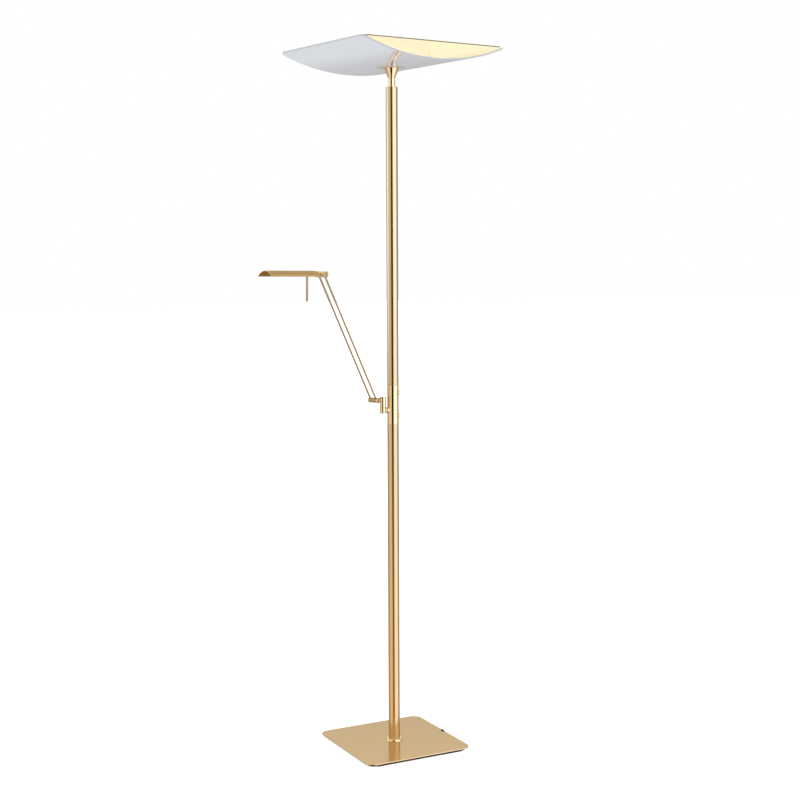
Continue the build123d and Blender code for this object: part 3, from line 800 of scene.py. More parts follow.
@dataclass
class Assembly:
    """A group of pieces that is built and dressed together."""

    palette: Palette
    built: list[Piece] = field(default_factory=list, init=False)

    def fit(self, piece: Piece, body: Body, finish: Finish, *nodes: str) -> Piece:
        """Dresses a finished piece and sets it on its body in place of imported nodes.

        Args:
            piece: The finished piece.
            body: Body that it rides on.
            finish: Its finish.
            *nodes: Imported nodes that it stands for.

        Returns:
            The piece.
        """
        if not piece.data.materials:
            self.palette.dress(piece, finish)
        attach(piece, body.value)
        if nodes:
            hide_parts(*nodes)
        self.built.append(piece)
        log.info("piece %s rides on %s", piece.name, body.value)
        return piece

    def lathe(
        self, name: str, outline: Outline, body: Body, finish: Finish, *nodes: str,
        setting: Matrix = Matrix(), cuts: Sequence[Piece] = (), edge: float = 0.0,
        angle: float = EDGE_ANGLE, steps: int = EDGE_STEPS, hollow: bool = False, sides: int = ROUND_SIDES,
    ) -> Piece:
        """Makes one round piece and fits it.

        Args:
            name: Name of the piece.
            outline: (radius, height) of each ring.
            body: Body that it rides on.
            finish: Its finish.
            *nodes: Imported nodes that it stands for.
            setting: Where it goes. Its turning axis is Z.
            cuts: Tools that cut it.
            edge: Width of its rounded edges, or 0 for none.
            angle: Least turn in degrees that counts as an edge.
            steps: Faces across the rounding.
            hollow: Whether it has a bore.
            sides: Sides of each ring.

        Returns:
            The piece.
        """
        piece = Bench.turned(name, outline, hollow, sides)
        for tool in cuts:
            Bench.cut(piece, tool)
        if edge:
            Bench.soften(piece, edge, angle, steps)
        else:
            Bench.smooth(piece)
        Bench.settle(piece, setting)
        return self.fit(piece, body, finish, *nodes)

    def keep(self, finish: Finish, *nodes: str) -> None:
        """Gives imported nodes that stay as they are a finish."""
        for node in nodes:
            self.palette.dress(frame["nodes"][node], finish)
            log.info("node %s is kept", node)


# ---- the lamp's sub-assemblies ---------------------------------------------------------------------------


@dataclass
class Foot(Assembly):
    """Square base sheet with its notch, weight, pad and polished ring."""

    corner: float = 25 * MM
    corner_steps: int = 20
    edge: float = 0.8 * MM
    notch_width: float = 14 * MM
    notch_depth: float = 6 * MM
    notch_corner: float = 2 * MM
    notch_steps: int = 6
    lining_play: float = 0.2 * MM
    lining_slot: float = 6 * MM
    lining_lip: float = 2 * MM
    strip_width: float = 4.5 * MM
    strip_end: float = 18 * MM
    strip_lift: float = 0.2 * MM
    strip_steps: int = 4
    ring_lean: float = 0.8 * MM
    ring_chamfer: float = 0.8 * MM
    ring_edge: float = 0.2 * MM

    def build(self) -> None:
        """Builds the foot."""
        self.plate()
        self.notch_lining()
        self.edge_strips()
        self.ring()
        self.keep(Finish.DARK_WEIGHT, "base_weight")
        self.keep(Finish.FELT, "floor_pad")
        self.keep(Finish.BLACK_PLASTIC, "cable_gland")
        self.keep(Finish.STEEL, "base_nipple", "base_washer", "base_nut", "bottom_plug")

    def plate(self) -> None:
        """Builds the base sheet."""
        at = Extent.of("base_plate")
        sheet = Bench.slab("base_sheet", at.low, at.high, self.corner, self.corner_steps)
        half = self.notch_width / 2
        low = Vector((at.high.x - self.notch_depth, -half, at.low.z - OVERRUN))
        high = Vector((at.high.x + self.notch_depth, half, at.high.z + OVERRUN))
        Bench.cut(sheet, Bench.slab("notch", low, high, self.notch_corner, self.notch_steps))
        Bench.soften(sheet, self.edge)
        self.fit(sheet, Body.STAND, Finish.SATIN_BRASS, "base_plate")

    def notch_lining(self) -> None:
        """Builds the black lining of the notch, with the lead's way out."""
        at = Extent.of("base_plate")
        half = self.notch_width / 2 - self.lining_play
        inner = at.high.x - self.notch_depth
        low = Vector((inner + self.lining_play, -half, at.low.z))
        high = Vector((at.high.x - self.edge, half, at.high.z + self.lining_lip))
        lining = Bench.slab("notch_lining", low, high, self.notch_corner, self.notch_steps)
        slot = self.lining_slot / 2
        low = Vector((inner + slot / 2, -slot, at.low.z - OVERRUN))
        high = Vector((at.high.x + OVERRUN, slot, at.high.z - self.edge))
        Bench.cut(lining, Bench.block("slot", low, high))
        Bench.soften(lining, self.lining_play)
        self.fit(lining, Body.STAND, Finish.BLACK_PLASTIC)

    def edge_strips(self) -> None:
        """Builds the dark strips along two sides of the weight, one copied from the other."""
        at = Extent.of("base_weight")
        reach = at.high.x - self.strip_end
        low = Vector((-reach, at.low.y - self.strip_width, self.strip_lift))
        high = Vector((reach, at.low.y, at.high.z))
        front = Bench.slab("weight_strip_front", low, high, self.strip_width / 3, self.strip_steps)
        Bench.soften(front, self.lining_play)
        rear = front.copy()
        rear.data = front.data.copy()
        rear.name = "weight_strip_rear"
        bpy.context.scene.collection.objects.link(rear)
        Bench.settle(rear, Matrix.Rotation(math.pi, 4, "Z"))
        for strip in (front, rear):
            self.fit(strip, Body.STAND, Finish.DARK_WEIGHT)

    def ring(self) -> None:
        """Builds the polished ring round the pole's foot."""
        at = Extent.of("foot_ring")
        outer, inner = at.half.x, Extent.of("lower_pole").half.x
        top, lip = outer - self.ring_lean, self.ring_chamfer
        outline = (
            (inner, at.low.z), (outer, at.low.z), (top, at.high.z - lip), (top - lip, at.high.z),
            (inner, at.high.z),
        )
        self.lathe("foot_ring_polished", outline, Body.STAND, Finish.POLISHED_BRASS, "foot_ring",
                   hollow=True, edge=self.ring_edge)


@dataclass
class Column(Assembly):
    """Poles, collar with its push buttons, cap, neck and cone."""

    wall: float = 1.5 * MM
    pole_edge: float = 0.3 * MM
    neck_edge: float = 0.25 * MM
    cap_edge: float = 0.5 * MM
    cap_height: float = 2 * MM
    ring_height: float = 2 * MM
    neck_radius: float = 9 * MM
    cone_lip: float = 1.5 * MM
    cone_edge: float = 0.4 * MM
    cone_angle: float = 20.0
    button_play: float = 0.1 * MM
    button_dome: float = 3.2 * MM
    button_steps: int = 10
    button_edge: float = 0.25 * MM

    def build(self) -> None:
        """Builds the column."""
        self.tube("lower_pole", "pole_below_collar", Finish.SATIN_BRASS)
        self.tube("upper_pole", "pole_above_collar", Finish.SATIN_BRASS)
        self.collar()
        self.crown()
        self.button("button_lower", Body.LOWER_BUTTON)
        self.button("button_upper", Body.UPPER_BUTTON)
        self.keep(Finish.CAST_ALUMINIUM, "lower_sleeve", "upper_sleeve", "arm_anchor")
        self.keep(Finish.STEEL, "shade_nipple", "shade_nut")
        self.keep(Finish.GREEN_BOARD, "control_board")
        self.keep(Finish.BLACK_PLASTIC, "switch_housing_lower", "switch_housing_upper")

    def tube(self, node: str, name: str, finish: Finish) -> Piece:
        """Builds one round tube in place of a node.

        Args:
            node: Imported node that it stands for.
            name: Name of the new piece.
            finish: Its finish.

        Returns:
            The piece.
        """
        at = Extent.of(node)
        outline = sleeve(at.half.x - self.wall, at.half.x, at.low.z, at.high.z)
        return self.lathe(name, outline, Body.STAND, finish, node, hollow=True, edge=self.pole_edge,
                          steps=THIN_STEPS)

    def collar(self) -> None:
        """Builds the polished collar with its two button holes."""
        collar = self.tube("collar", "switch_collar", Finish.POLISHED_BRASS)
        for node in ("button_lower", "button_upper"):
            at = Extent.of(node)
            radius = self.button_radius(node) + self.button_play
            tool = Bench.turned("hole", ((radius, 0), (radius, at.high.x + OVERRUN)))
            Bench.settle(tool, moved(z=at.middle.z) @ TO_X)
            Bench.cut(collar, tool)
        Bench.smooth(collar)

    @staticmethod
    def button_radius(node: str) -> float:
        """Radius of a button's cap, read where it leaves the collar."""
        middle = Extent.of(node).middle.z
        collar = Extent.of("collar").high.x
        outside = [vertex.co for vertex in frame["nodes"][node].data.vertices if vertex.co.x > collar]
        return max(math.hypot(point.y, point.z - middle) for point in outside)

    def crown(self) -> None:
        """Builds the pole's end cap, the shade's neck with the ring at its foot, and the cone."""
        cap, neck, cone = (Extent.of(node) for node in ("pole_cap", "shade_neck", "shade_cone"))
        bore, slim = Extent.of("shade_nipple").half.x, self.neck_radius
        step = neck.low.z + self.ring_height
        outlines = {
            "pole_cap": sleeve(bore, cap.half.x, cap.high.z - self.cap_height, cap.high.z),
            "shade_neck": (
                (bore, neck.low.z), (neck.half.x, neck.low.z), (neck.half.x, step), (slim, step),
                (slim, neck.high.z), (bore, neck.high.z),
            ),
            "shade_cone": (
                (bore, cone.low.z), (slim, cone.low.z), (cone.half.x, cone.high.z - self.cone_lip),
                (cone.half.x, cone.high.z), (bore, cone.high.z),
            ),
        }
        made = (("pole_cap", "pole_end_cap", self.cap_edge, EDGE_ANGLE),
                ("shade_neck", "shade_neck_polished", self.neck_edge, EDGE_ANGLE),
                ("shade_cone", "shade_cone_polished", self.cone_edge, self.cone_angle))
        for node, name, edge, angle in made:
            self.lathe(name, outlines[node], Body.STAND, Finish.POLISHED_BRASS, node,
                       hollow=True, edge=edge, angle=angle)

    def button(self, node: str, body: Body) -> None:
        """Builds one domed push button.

        Args:
            node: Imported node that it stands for.
            body: Its own body.
        """
        at = Extent.of(node)
        radius, dome = self.button_radius(node), self.button_dome
        curve = (radius ** 2 + dome ** 2) / (2 * dome)
        half = math.asin(radius / curve)
        outline = [(radius, at.low.x)]
        for step in range(self.button_steps):
            angle = half * (1 - step / self.button_steps)
            outline.append((curve * math.sin(angle), at.high.x - curve * (1 - math.cos(angle))))
        self.lathe(f"{node}_cap", outline, body, Finish.POLISHED_BRASS, node,
                   setting=moved(z=at.middle.z) @ TO_X, edge=self.button_edge, sides=SMALL_SIDES)


@dataclass
class Shade(Assembly):
    """Bent sheet, translucent cover and the uplight between them."""

    yaw: float = 6.3
    thickness: float = 4 * MM
    corner: float = 14 * MM
    corner_steps: int = 16
    edge: float = 0.9 * MM
    arc_sides: int = 1080
    cover_corner: float = 14 * MM
    cover_edge: float = 0.5 * MM
    gasket_radius: float = 38 * MM
    gasket_thickness: float = 0.5 * MM
    rim_slope: float = 0.7

    def build(self) -> None:
        """Builds the shade and dresses what it holds."""
        self.turn = Matrix.Rotation(math.radians(self.yaw), 4, "Z")
        self.at = Extent.of("shade_sheet", self.turn)
        self.sheet()
        self.cover()
        self.keep(Finish.CAST_ALUMINIUM, "shade_saddle", "uplight_tray")
        self.keep(Finish.BLACK_PLASTIC, "uplight_driver")
        self.keep(Finish.WHITE_BOARD, "uplight_board")
        self.keep(Finish.LIGHT_POINTS, "uplight_points")
        # the clear cover posts wear the cover's glow: painted light, as the posts are no lamp
        self.keep(Finish.LIT_COVER, "cover_posts")
        self.gasket()

    def bent(self, name: str, above: float, below: float, reach: float) -> Piece:
        """Makes a lying tube with the sheet's bend.

        Args:
            name: Name of the new object.
            above: Depth of its inner face under the sheet's upper face.
            below: Depth of its outer face under the sheet's upper face.
            reach: Half its length.

        Returns:
            The new object.
        """
        sag = 2 * self.at.half.z - self.thickness
        upper = (self.at.half.x ** 2 + sag ** 2) / (2 * sag)
        outline = sleeve(upper + above, upper + below, -reach, reach)
        tube = Bench.turned(name, outline, hollow=True, sides=self.arc_sides)
        Bench.settle(tube, moved(z=self.at.low.z + self.thickness + upper) @ TO_Y)
        return tube

    def gasket(self) -> None:
        """Builds the thin pale disc round the cone, bent as the sheet's underside is."""
        radius, under = self.gasket_radius, self.thickness
        gasket = self.bent("shade_gasket", under, under + self.gasket_thickness, radius + OVERRUN)
        bore, lowest = Extent.of("shade_cone").half.x, self.at.low.z
        low, high = lowest - OVERRUN, lowest + 2 * OVERRUN
        Bench.cut(gasket, Bench.turned("disc", sleeve(bore, radius, low, high), hollow=True), "INTERSECT")
        Bench.smooth(gasket)
        Bench.settle(gasket, self.turn)
        self.fit(gasket, Body.STAND, Finish.FRICTION_PLASTIC)

    def sheet(self) -> None:
        """Builds the sheet: a lying tube, trimmed to the sheet's outline."""
        at = self.at
        sheet = self.bent("bent_sheet", 0, self.thickness, at.high.y + OVERRUN)
        Bench.trim(sheet, at.high.z + OVERRUN, keep_above=False)
        low = Vector((at.low.x, at.low.y, at.low.z - OVERRUN))
        Bench.cut(sheet, Bench.slab("outline", low, at.high, self.corner, self.corner_steps), "INTERSECT")
        Bench.soften(sheet, self.edge)
        # the rim faces get the darker lacquer: painted shade on the sheet's edge
        self.palette.patch(sheet, Finish.SHADE_LACQUER, Finish.LACQUER_EDGE, self.is_rim)
        Bench.settle(sheet, self.turn)
        self.fit(sheet, Body.STAND, Finish.SHADE_LACQUER, "shade_sheet")

    def is_rim(self, centre: Vector, normal: Vector) -> bool:
        """Tells whether a face belongs to the narrow edge round a sheet."""
        return abs(normal.z) < self.rim_slope

    def cover(self) -> None:
        """Builds the cover plate between the sheet's edges."""
        at = Extent.of("cover_plate", self.turn)
        cover = Bench.slab("light_cover", at.low, at.high, self.cover_corner)
        Bench.soften(cover, self.cover_edge)
        self.palette.patch(cover, Finish.LIT_COVER, Finish.COVER_SIDES, self.is_rim)
        Bench.settle(cover, self.turn)
        self.fit(cover, Body.STAND, Finish.LIT_COVER, "cover_plate")


@dataclass
class Swivel(Assembly):
    """Stub on the collar, knuckle and barrel with the elbow's disc."""

    stub_foot: float = 3.5 * MM
    stub_waist: float = 10 * MM
    edge: float = 0.5 * MM
    fine_edge: float = 0.2 * MM
    socket_depth: float = 1 * MM
    link_height: float = 8 * MM
    seat_depth: float = 2.1 * MM
    seat_play: float = 0.1 * MM

    def build(self) -> None:
        """Builds the swivel."""
        self.arm = arm_setting()
        self.stub()
        self.upright("swivel_knuckle", Body.STAND)
        self.upright("swivel_barrel", Body.SWIVEL)
        self.set_screw()
        self.link()
        self.keep(Finish.STEEL, "swivel_pin")

    def stub(self) -> None:
        """Builds the stub with the wider foot on the collar."""
        at = Extent.of("arm_stub")
        collar = Extent.of("collar").half.x
        foot, waist, step = at.half.z, self.stub_waist / 2, collar + self.stub_foot
        outline = (foot, collar - self.edge * 4), (foot, step), (waist, step), (waist, -at.low.x)
        self.lathe("arm_stub_polished", outline, Body.STAND, Finish.POLISHED_BRASS, "arm_stub",
                   setting=moved(z=at.middle.z) @ TO_MINUS_X, edge=self.edge)

    def upright(self, node: str, body: Body) -> None:
        """Builds one half of the swivel barrel in place of a node."""
        at = Extent.of(node)
        self.lathe(f"{node}_polished", ((at.half.x, at.low.z), (at.half.x, at.high.z)), body,
                   Finish.POLISHED_BRASS, node, setting=moved(at.middle.x, at.middle.y), edge=self.edge)

    def set_screw(self) -> None:
        """Builds the set screw in the barrel."""
        at = Extent.of("barrel_set_screw", self.arm)
        radius, face = at.half.z, at.low.x
        depth = (radius / 2, face - OVERRUN), (radius / 2, face + self.socket_depth)
        socket = Bench.turned("socket", depth, sides=HEX_SIDES)
        self.lathe("barrel_set_screw_steel", ((radius, face), (radius, at.high.x)), Body.SWIVEL,
                   Finish.PLATED_STEEL, "barrel_set_screw", cuts=(socket,), sides=ROD_SIDES,
                   setting=self.arm @ moved(z=at.middle.z) @ TO_X)

    def link(self) -> None:
        """Builds the elbow's disc and the short bar that carries it."""
        at = Extent.of("elbow_link", self.arm)
        radius, middle, near = at.half.z, at.middle.z, at.high.y
        out = at.high.x - radius
        round_disc = moved(out, 0, middle) @ TO_Y
        disc = Bench.turned("elbow_disc", ((radius, at.low.y), (radius, near)))
        Bench.settle(disc, round_disc)
        half = self.link_height / 2
        low = Vector((Extent.of("swivel_barrel").half.x / 2, at.low.y, middle - half))
        Bench.cut(disc, Bench.block("bar", low, Vector((out, near, middle + half))), "UNION")
        seat = Extent.of("elbow_screw", self.arm).half.z + self.seat_play
        tool = Bench.turned("seat", ((seat, near - self.seat_depth), (seat, near + OVERRUN)))
        Bench.settle(tool, round_disc)
        Bench.cut(disc, tool)
        Bench.soften(disc, self.fine_edge)
        Bench.settle(disc, self.arm)
        self.fit(disc, Body.SWIVEL, Finish.POLISHED_BRASS, "elbow_link")


@dataclass
class Arm(Assembly):
    """Cross tube, twin rods, their end drums and the two joint screws."""

    tube_end: float = 2.6 * MM
    tube_steps: int = 8
    fine_edge: float = 0.2 * MM
    shank_radius: float = 2 * MM
    screw_sides: int = 48
    socket_width: float = 2.5 * MM
    socket_depth: float = 1.2 * MM
    head_height: float = 2 * MM
    seat_play: float = 0.05 * MM
    washer_bore: float = 2.1 * MM

    def build(self) -> None:
        """Builds the arm."""
        self.rods = rod_setting()
        self.cross_tube()
        self.rod("arm_rod_near")
        self.rod("arm_rod_far")
        self.drum("rod_eye_near", True)
        self.drum("rod_eye_far", False)
        self.screw("elbow_screw")
        self.screw("tilt_screw")
        self.washer("elbow_washer")
        self.keep(Finish.FRICTION_PLASTIC, "tilt_washers")

    def cross_tube(self) -> None:
        """Builds the tube that holds both rods, with its round free end."""
        at = Extent.of("cross_tube", self.rods)
        outline = rounded_end(at.half.x, self.tube_end, at.low.y, self.tube_steps)
        outline.append((at.half.x, at.high.y))
        self.lathe("cross_tube_satin", outline, Body.ARM, Finish.ROD_BRASS, "cross_tube",
                   setting=self.rods @ TO_Y, edge=self.fine_edge)

    def rod(self, node: str) -> None:
        """Builds one rod."""
        at = Extent.of(node, self.rods)
        outline = (at.half.x, at.low.z), (at.half.x, at.high.z)
        self.lathe(f"{node}_satin", outline, Body.ARM, Finish.ROD_BRASS, node,
                   setting=self.rods @ moved(y=at.middle.y), edge=self.fine_edge, sides=ROD_SIDES)

    def drum(self, node: str, with_seat: bool) -> None:
        """Builds the drum on a rod's end.

        Args:
            node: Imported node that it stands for.
            with_seat: Whether it takes the screw's head.
        """
        at = Extent.of(node, self.rods)
        seat = Extent.of("tilt_screw", self.rods).half.z + self.seat_play
        depth = (seat, at.high.y - self.head_height), (seat, at.high.y + OVERRUN)
        cuts = (Bench.turned("seat", depth),) if with_seat else ()
        outline = (at.half.z, at.low.y), (at.half.z, at.high.y)
        self.lathe(f"{node}_polished", outline, Body.ARM, Finish.POLISHED_BRASS, node, cuts=cuts,
                   setting=self.rods @ moved(z=at.middle.z) @ TO_Y, edge=self.fine_edge * 2,
                   sides=SMALL_SIDES)

    def screw(self, node: str) -> None:
        """Builds a joint screw with a hexagon socket in its head."""
        at = Extent.of(node, self.rods)
        radius, under, shank = at.half.z, at.high.y - self.head_height, self.shank_radius
        outline = (shank, at.low.y), (shank, under), (radius, under), (radius, at.high.y)
        screw = Bench.turned(f"{node}_steel", outline, sides=self.screw_sides)
        width = self.socket_width / 2 / math.cos(math.pi / HEX_SIDES)
        floor = at.high.y - self.socket_depth
        hexagon = (width, floor), (width, at.high.y + OVERRUN)
        Bench.cut(screw, Bench.turned("socket", hexagon, sides=HEX_SIDES))
        Bench.soften(screw, self.fine_edge, steps=THIN_STEPS)
        lowest, highest = floor - self.fine_edge, at.high.y - self.fine_edge / 2
        # the socket's faces get the near-black finish: painted shade in the recess
        self.palette.patch(
            screw, Finish.PLATED_STEEL, Finish.DARK_SOCKET,
            lambda centre, normal: centre.xy.length < width and lowest < centre.z < highest,
        )
        Bench.settle(screw, self.rods @ moved(z=at.middle.z) @ TO_Y)
        self.fit(screw, Body.ARM, Finish.PLATED_STEEL, node)

    def washer(self, node: str) -> None:
        """Builds the friction washer at the elbow."""
        at = Extent.of(node, self.rods)
        outline = sleeve(self.washer_bore, at.half.z, at.low.y, at.high.y)
        self.lathe(f"{node}_ring", outline, Body.ARM, Finish.FRICTION_PLASTIC, node, hollow=True,
                   setting=self.rods @ TO_Y, edge=self.fine_edge / 2, steps=THIN_STEPS, sides=SMALL_SIDES)


@dataclass
class ReadingHead(Assembly):
    """Neck with its tilt barrel, arched shell, end block, light strip and handle pin."""

    barrel_radius: float = 7.3 * MM
    groove_at: float = 12 * MM
    groove_width: float = 1.2 * MM
    groove_depth: float = 0.6 * MM
    neck_play: float = 0.15 * MM
    neck_length: float = 27.5 * MM
    neck_angle: float = 40.0
    spigot_radius: float = 2.5 * MM
    shell_wall: float = 1.5 * MM
    shell_edge: float = 0.35 * MM
    shell_sides: int = 256
    # faces that turn this far towards the shell's axis get the painted shade
    inward: float = -0.8
    edge: float = 0.3 * MM
    pin_steps: int = 8

    def build(self) -> None:
        """Builds the reading head."""
        self.head = head_setting()
        self.neck()
        self.shell()
        self.diffuser()
        self.pin()
        self.keep(Finish.HEAD_BRASS, "head_block")
        self.keep(Finish.CAST_ALUMINIUM, "light_bar")
        self.keep(Finish.WHITE_BOARD, "light_board")

    def neck(self) -> None:
        """Builds the tilt barrel and the grooved neck that the head turns on."""
        at = Extent.of("tilt_barrel", self.head)
        radius = at.half.y - self.neck_play
        slim = radius - self.groove_depth
        groove_end = self.groove_at + self.groove_width
        outline = (
            (radius, 0), (radius, self.groove_at), (slim, self.groove_at), (slim, groove_end),
            (radius, groove_end), (radius, self.neck_length), (self.spigot_radius, self.neck_length),
            (self.spigot_radius, at.high.x),
        )
        neck = Bench.turned("head_neck_polished", outline, sides=SMALL_SIDES)
        Bench.settle(neck, TO_X)
        drum = (self.barrel_radius, at.low.y), (self.barrel_radius, at.high.y)
        barrel = Bench.turned("barrel", drum, sides=SMALL_SIDES)
        Bench.settle(barrel, TO_Y)
        Bench.cut(neck, barrel, "UNION")
        Bench.soften(neck, self.edge / 2, angle=self.neck_angle)
        Bench.settle(neck, self.head)
        self.fit(neck, Body.NECK, Finish.POLISHED_BRASS, "tilt_barrel")

    def shell(self) -> None:
        """Builds the arched shell: a lying tube, kept above its mouth, with painted shade on its inner faces."""
        at = Extent.of("head_shell", self.head)
        half, height = at.half.y, 2 * at.half.z
        outer = (half ** 2 + height ** 2) / (2 * height)
        inner = outer - self.shell_wall
        outline = sleeve(inner, outer, at.low.x, at.high.x)
        shell = Bench.turned("head_shell_arched", outline, hollow=True, sides=self.shell_sides)
        axis = Vector((0, 0, at.high.z - outer))
        Bench.settle(shell, Matrix.Translation(axis) @ TO_X)
        Bench.trim(shell, at.low.z, keep_above=True)
        Bench.soften(shell, self.shell_edge)
        # the inner faces get the dark inside brass: painted shade inside the shell
        self.palette.patch(
            shell, Finish.HEAD_BRASS, Finish.HEAD_INSIDE,
            lambda centre, normal: (centre - axis).yz.dot(normal.yz) < self.inward * inner,
        )
        Bench.settle(shell, self.head)
        self.fit(shell, Body.HEAD, Finish.HEAD_BRASS, "head_shell")

    def diffuser(self) -> None:
        """Builds the opal strip under the light bar."""
        at = Extent.of("head_diffuser", self.head)
        strip = Bench.block("opal_light_strip", at.low, at.high)
        Bench.soften(strip, 2 * self.edge)
        Bench.settle(strip, self.head)
        self.fit(strip, Body.HEAD, Finish.OPAL_STRIP, "head_diffuser")

    def pin(self) -> None:
        """Builds the handle pin with its round tip."""
        at = Extent.of("handle_pin", self.head)
        outline = rounded_end(at.half.x, at.half.x, at.low.z, self.pin_steps, first=1)
        outline.append((at.half.x, at.high.z))
        self.lathe("handle_pin_satin", outline, Body.HEAD, Finish.ROD_BRASS, "handle_pin",
                   setting=self.head @ moved(at.middle.x), sides=ROD_SIDES)


# ---- stage -----------------------------------------------------------------------------------------------


@dataclass(frozen=True)
class Viewpoint:
    """The photograph's camera."""

    place: tuple[float, float, float] = (-1.7528, -3.3579, 1.2969)
    azimuth: float = 27.84
    pitch: float = -5.82
    roll: float = -0.21
    lens: float = 66.29
    sensor: float = 36.0

    def build(self) -> None:
        """Adds the camera."""
        data = bpy.data.cameras.new("camera")
        data.lens, data.sensor_width = self.lens, self.sensor
        camera = bpy.data.objects.new("camera", data)
        bpy.context.scene.collection.objects.link(camera)
        turn = Matrix.Rotation(math.radians(-self.azimuth), 4, "Z")
        turn @= Matrix.Rotation(math.radians(90 + self.pitch), 4, "X")
        turn @= Matrix.Rotation(math.radians(self.roll), 4, "Z")
        camera.matrix_world = Matrix.Translation(self.place) @ turn
        bpy.context.scene.camera = camera


@dataclass(frozen=True)
class Panel:
    """One soft panel round the lamp. Azimuths are degrees from where the camera stands towards its right, and
    levels are sines of the elevation."""

    colour: Colour
    azimuth: float
    half_width: float
    fade: float
    low: float
    high: float
    rise: float = 0.06
    tints: bool = False

    def paint(self, tree: Tree, under: Socket, level: Socket, across: Socket) -> Socket:
        """Lays the panel over what lies under it, or tints that with the panel's colour.

        Args:
            tree: Tree that gets the nodes.
            under: Colours under the panel.
            level: Sine of the direction's elevation.
            across: The direction's level part, of length one, with -Y towards the camera.

        Returns:
            Socket with the colours.
        """
        turn = math.radians(self.azimuth)
        towards = Sockets.node(tree, "VectorMath", operation="DOT_PRODUCT")
        Sockets.fill(tree, towards, "0", across)
        Sockets.fill(tree, towards, "1", Vector((math.sin(turn), -math.cos(turn), 0)))
        edges = (math.cos(math.radians(self.half_width + side * self.fade / 2)) for side in (1, -1))
        share = self.step(tree, towards.outputs["Value"], *edges)
        low, high, rise = self.low, self.high, self.rise
        for start, end in ((low - rise, low + rise), (high + rise, high - rise)):
            share = Sockets.maths(tree, "MULTIPLY", share, self.step(tree, level, start, end))
        return Sockets.blend(tree, share, under, self.colour, "MULTIPLY" if self.tints else "MIX")

    @staticmethod
    def step(tree: Tree, value: Socket, start: float, end: float) -> Socket:
        """Rises softly from 0 to 1 while a value goes from start to end."""
        node = Sockets.node(
            tree, "MapRange", interpolation_type="SMOOTHSTEP", Value=value, From_Min=start, From_Max=end
        )
        return node.outputs[0]


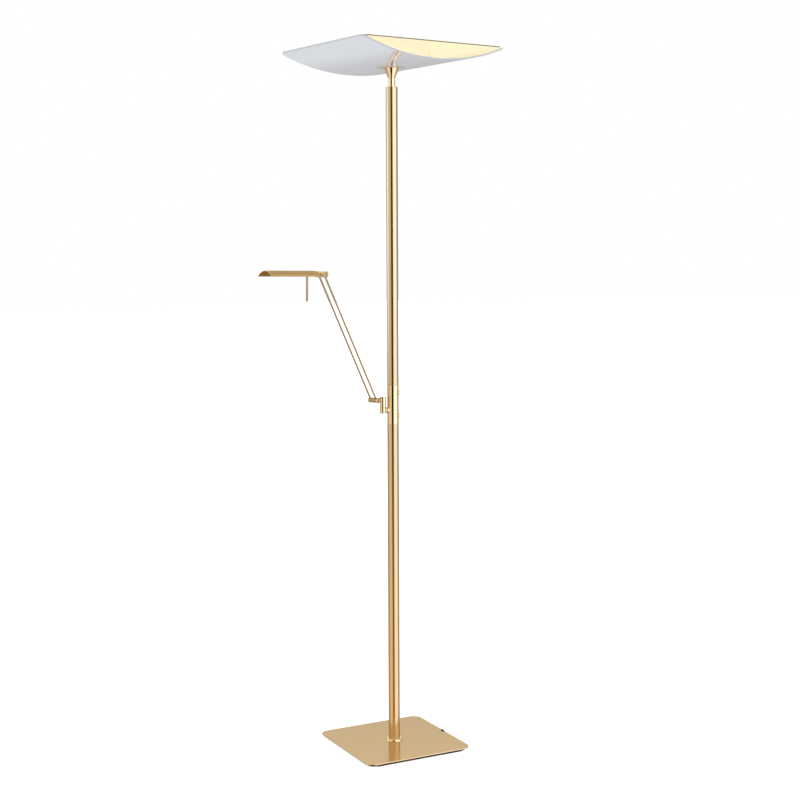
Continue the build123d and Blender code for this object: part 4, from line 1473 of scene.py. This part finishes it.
@dataclass(frozen=True)
class Studio:
    """White floor and surroundings, and the soft panels that the metal mirrors."""

    floor_size: float = 60.0
    floor_colour: float = 0.9
    floor_roughness: float = 0.9
    floor_glow: float = 0.6
    azimuth: float = 27.84
    ambient: float = 1.0
    around: Colour = (0.95, 0.9, 0.83)
    overhead: Colour = (0.88, 0.8, 0.7)
    ceiling: tuple[float, float] = (0.4, 0.62)
    underfoot: Colour = (0.46, 0.45, 0.44)
    ground: tuple[float, float] = (-0.21, -0.45)
    panels: tuple[Panel, ...] = (
        Panel((0.5, 0.5, 0.51), 180.0, 90.0, 8.0, -1.2, 0.27, 0.09),
        Panel((0.7, 0.73, 0.78), 180.0, 60.0, 20.0, -0.75, -0.33, 0.06),
        Panel((1.15, 1.07, 0.98), 180.0, 60.0, 20.0, 0.335, 0.5, 0.03),
        Panel((0.97, 0.93, 0.86), -53.0, 33.0, 8.0, -0.8, 0.6),
        Panel((1.1, 1.0, 0.95), -53.0, 33.0, 8.0, -0.8, -0.2, 0.1),
        Panel((1.7, 1.93, 2.7), -100.0, 17.0, 5.0, -0.066, 0.25, 0.03),
        Panel((1.45, 1.65, 2.15), 54.0, 34.0, 8.0, -0.8, 0.7),
        Panel((1.6, 1.95, 2.7), 54.0, 34.0, 8.0, -0.05, 0.3, 0.05),
        Panel((1.35, 1.15, 0.88), -10.0, 60.0, 20.0, 0.27, 0.5, 0.04),
        Panel((0.6, 0.4, 0.18), -7.5, 17.5, 4.0, -0.8, 0.2),
        Panel((0.03, 0.01, 0.0), -6.5, 18.0, 4.0, -0.2, 0.2, 0.09),
        Panel((0.02, 0.0, 0.0), -7.5, 5.0, 3.0, -0.45, -0.24, 0.03),
        Panel((0.03, 0.01, 0.0), -7.5, 17.5, 4.0, -1.2, -0.45),
        Panel((1.06, 0.88, 0.72), 0.0, 90.0, 8.0, -0.5, -0.21, 0.13, tints=True),
    )

    def build(self) -> None:
        """Builds the stage."""
        self.floor()
        self.world()
        bpy.context.scene.view_settings.view_transform = "Standard"

    def floor(self) -> None:
        """Adds the floor."""
        Bench.clear()
        bpy.ops.mesh.primitive_plane_add(size=self.floor_size)
        floor = bpy.context.object
        floor.name = "floor"
        surface = Surface("white_floor")
        surface.set(
            Base_Color=(self.floor_colour,) * 3, Roughness=self.floor_roughness, Specular_IOR_Level=0.0,
            Emission_Color=(1.0, 1.0, 1.0),
        )
        seen = Sockets.node(surface.tree, "LightPath").outputs["Is Camera Ray"]
        surface.set(Emission_Strength=Sockets.maths(surface.tree, "MULTIPLY", seen, self.floor_glow))
        floor.data.materials.append(surface.material)
        floor.visible_glossy = False

    def world(self) -> None:
        """Surrounds the lamp with white, and with studio panels as the metal sees it."""
        world = bpy.data.worlds.new("studio")
        bpy.context.scene.world = world
        world.use_nodes = True
        tree = world.node_tree
        tree.nodes.clear()
        direction = Sockets.node(tree, "TexCoord").outputs["Generated"]
        facing = Euler((0, 0, math.radians(self.azimuth)))
        turned = Sockets.node(tree, "Mapping", Vector=direction, Rotation=facing)
        parts = Sockets.node(tree, "SeparateXYZ", Vector=turned.outputs[0]).outputs
        level_part = Sockets.node(tree, "CombineXYZ", X=parts["X"], Y=parts["Y"])
        across = Sockets.node(tree, "VectorMath", operation="NORMALIZE", Vector=level_part.outputs[0])
        mirrored: object = self.around
        for levels, colour in ((self.ceiling, self.overhead), (self.ground, self.underfoot)):
            mirrored = Sockets.blend(tree, Panel.step(tree, parts["Z"], *levels), mirrored, colour)
        for panel in self.panels:
            mirrored = panel.paint(tree, mirrored, parts["Z"], across.outputs[0])
        path = Sockets.node(tree, "LightPath").outputs
        light = Sockets.blend(tree, path["Is Glossy Ray"], (self.ambient,) * 3, mirrored)
        seen = Sockets.blend(tree, path["Is Camera Ray"], light, (1.0, 1.0, 1.0))
        background = Sockets.node(tree, "Background", Color=seen, Strength=1.0)
        output = Sockets.node(tree, "OutputWorld")
        tree.links.new(background.outputs[0], output.inputs[0])


def main() -> None:
    """Builds the lamp and its stage."""
    logging.basicConfig(level=logging.INFO, format="%(message)s")
    Viewpoint().build()
    Studio().build()
    palette = Palette()
    for assembly in (Foot, Column, Shade, Swivel, Arm, ReadingHead):
        group = assembly(palette)
        group.build()
        log.info("%s has %d new pieces", assembly.__name__, len(group.built))


if __name__ == "__main__":
    main()
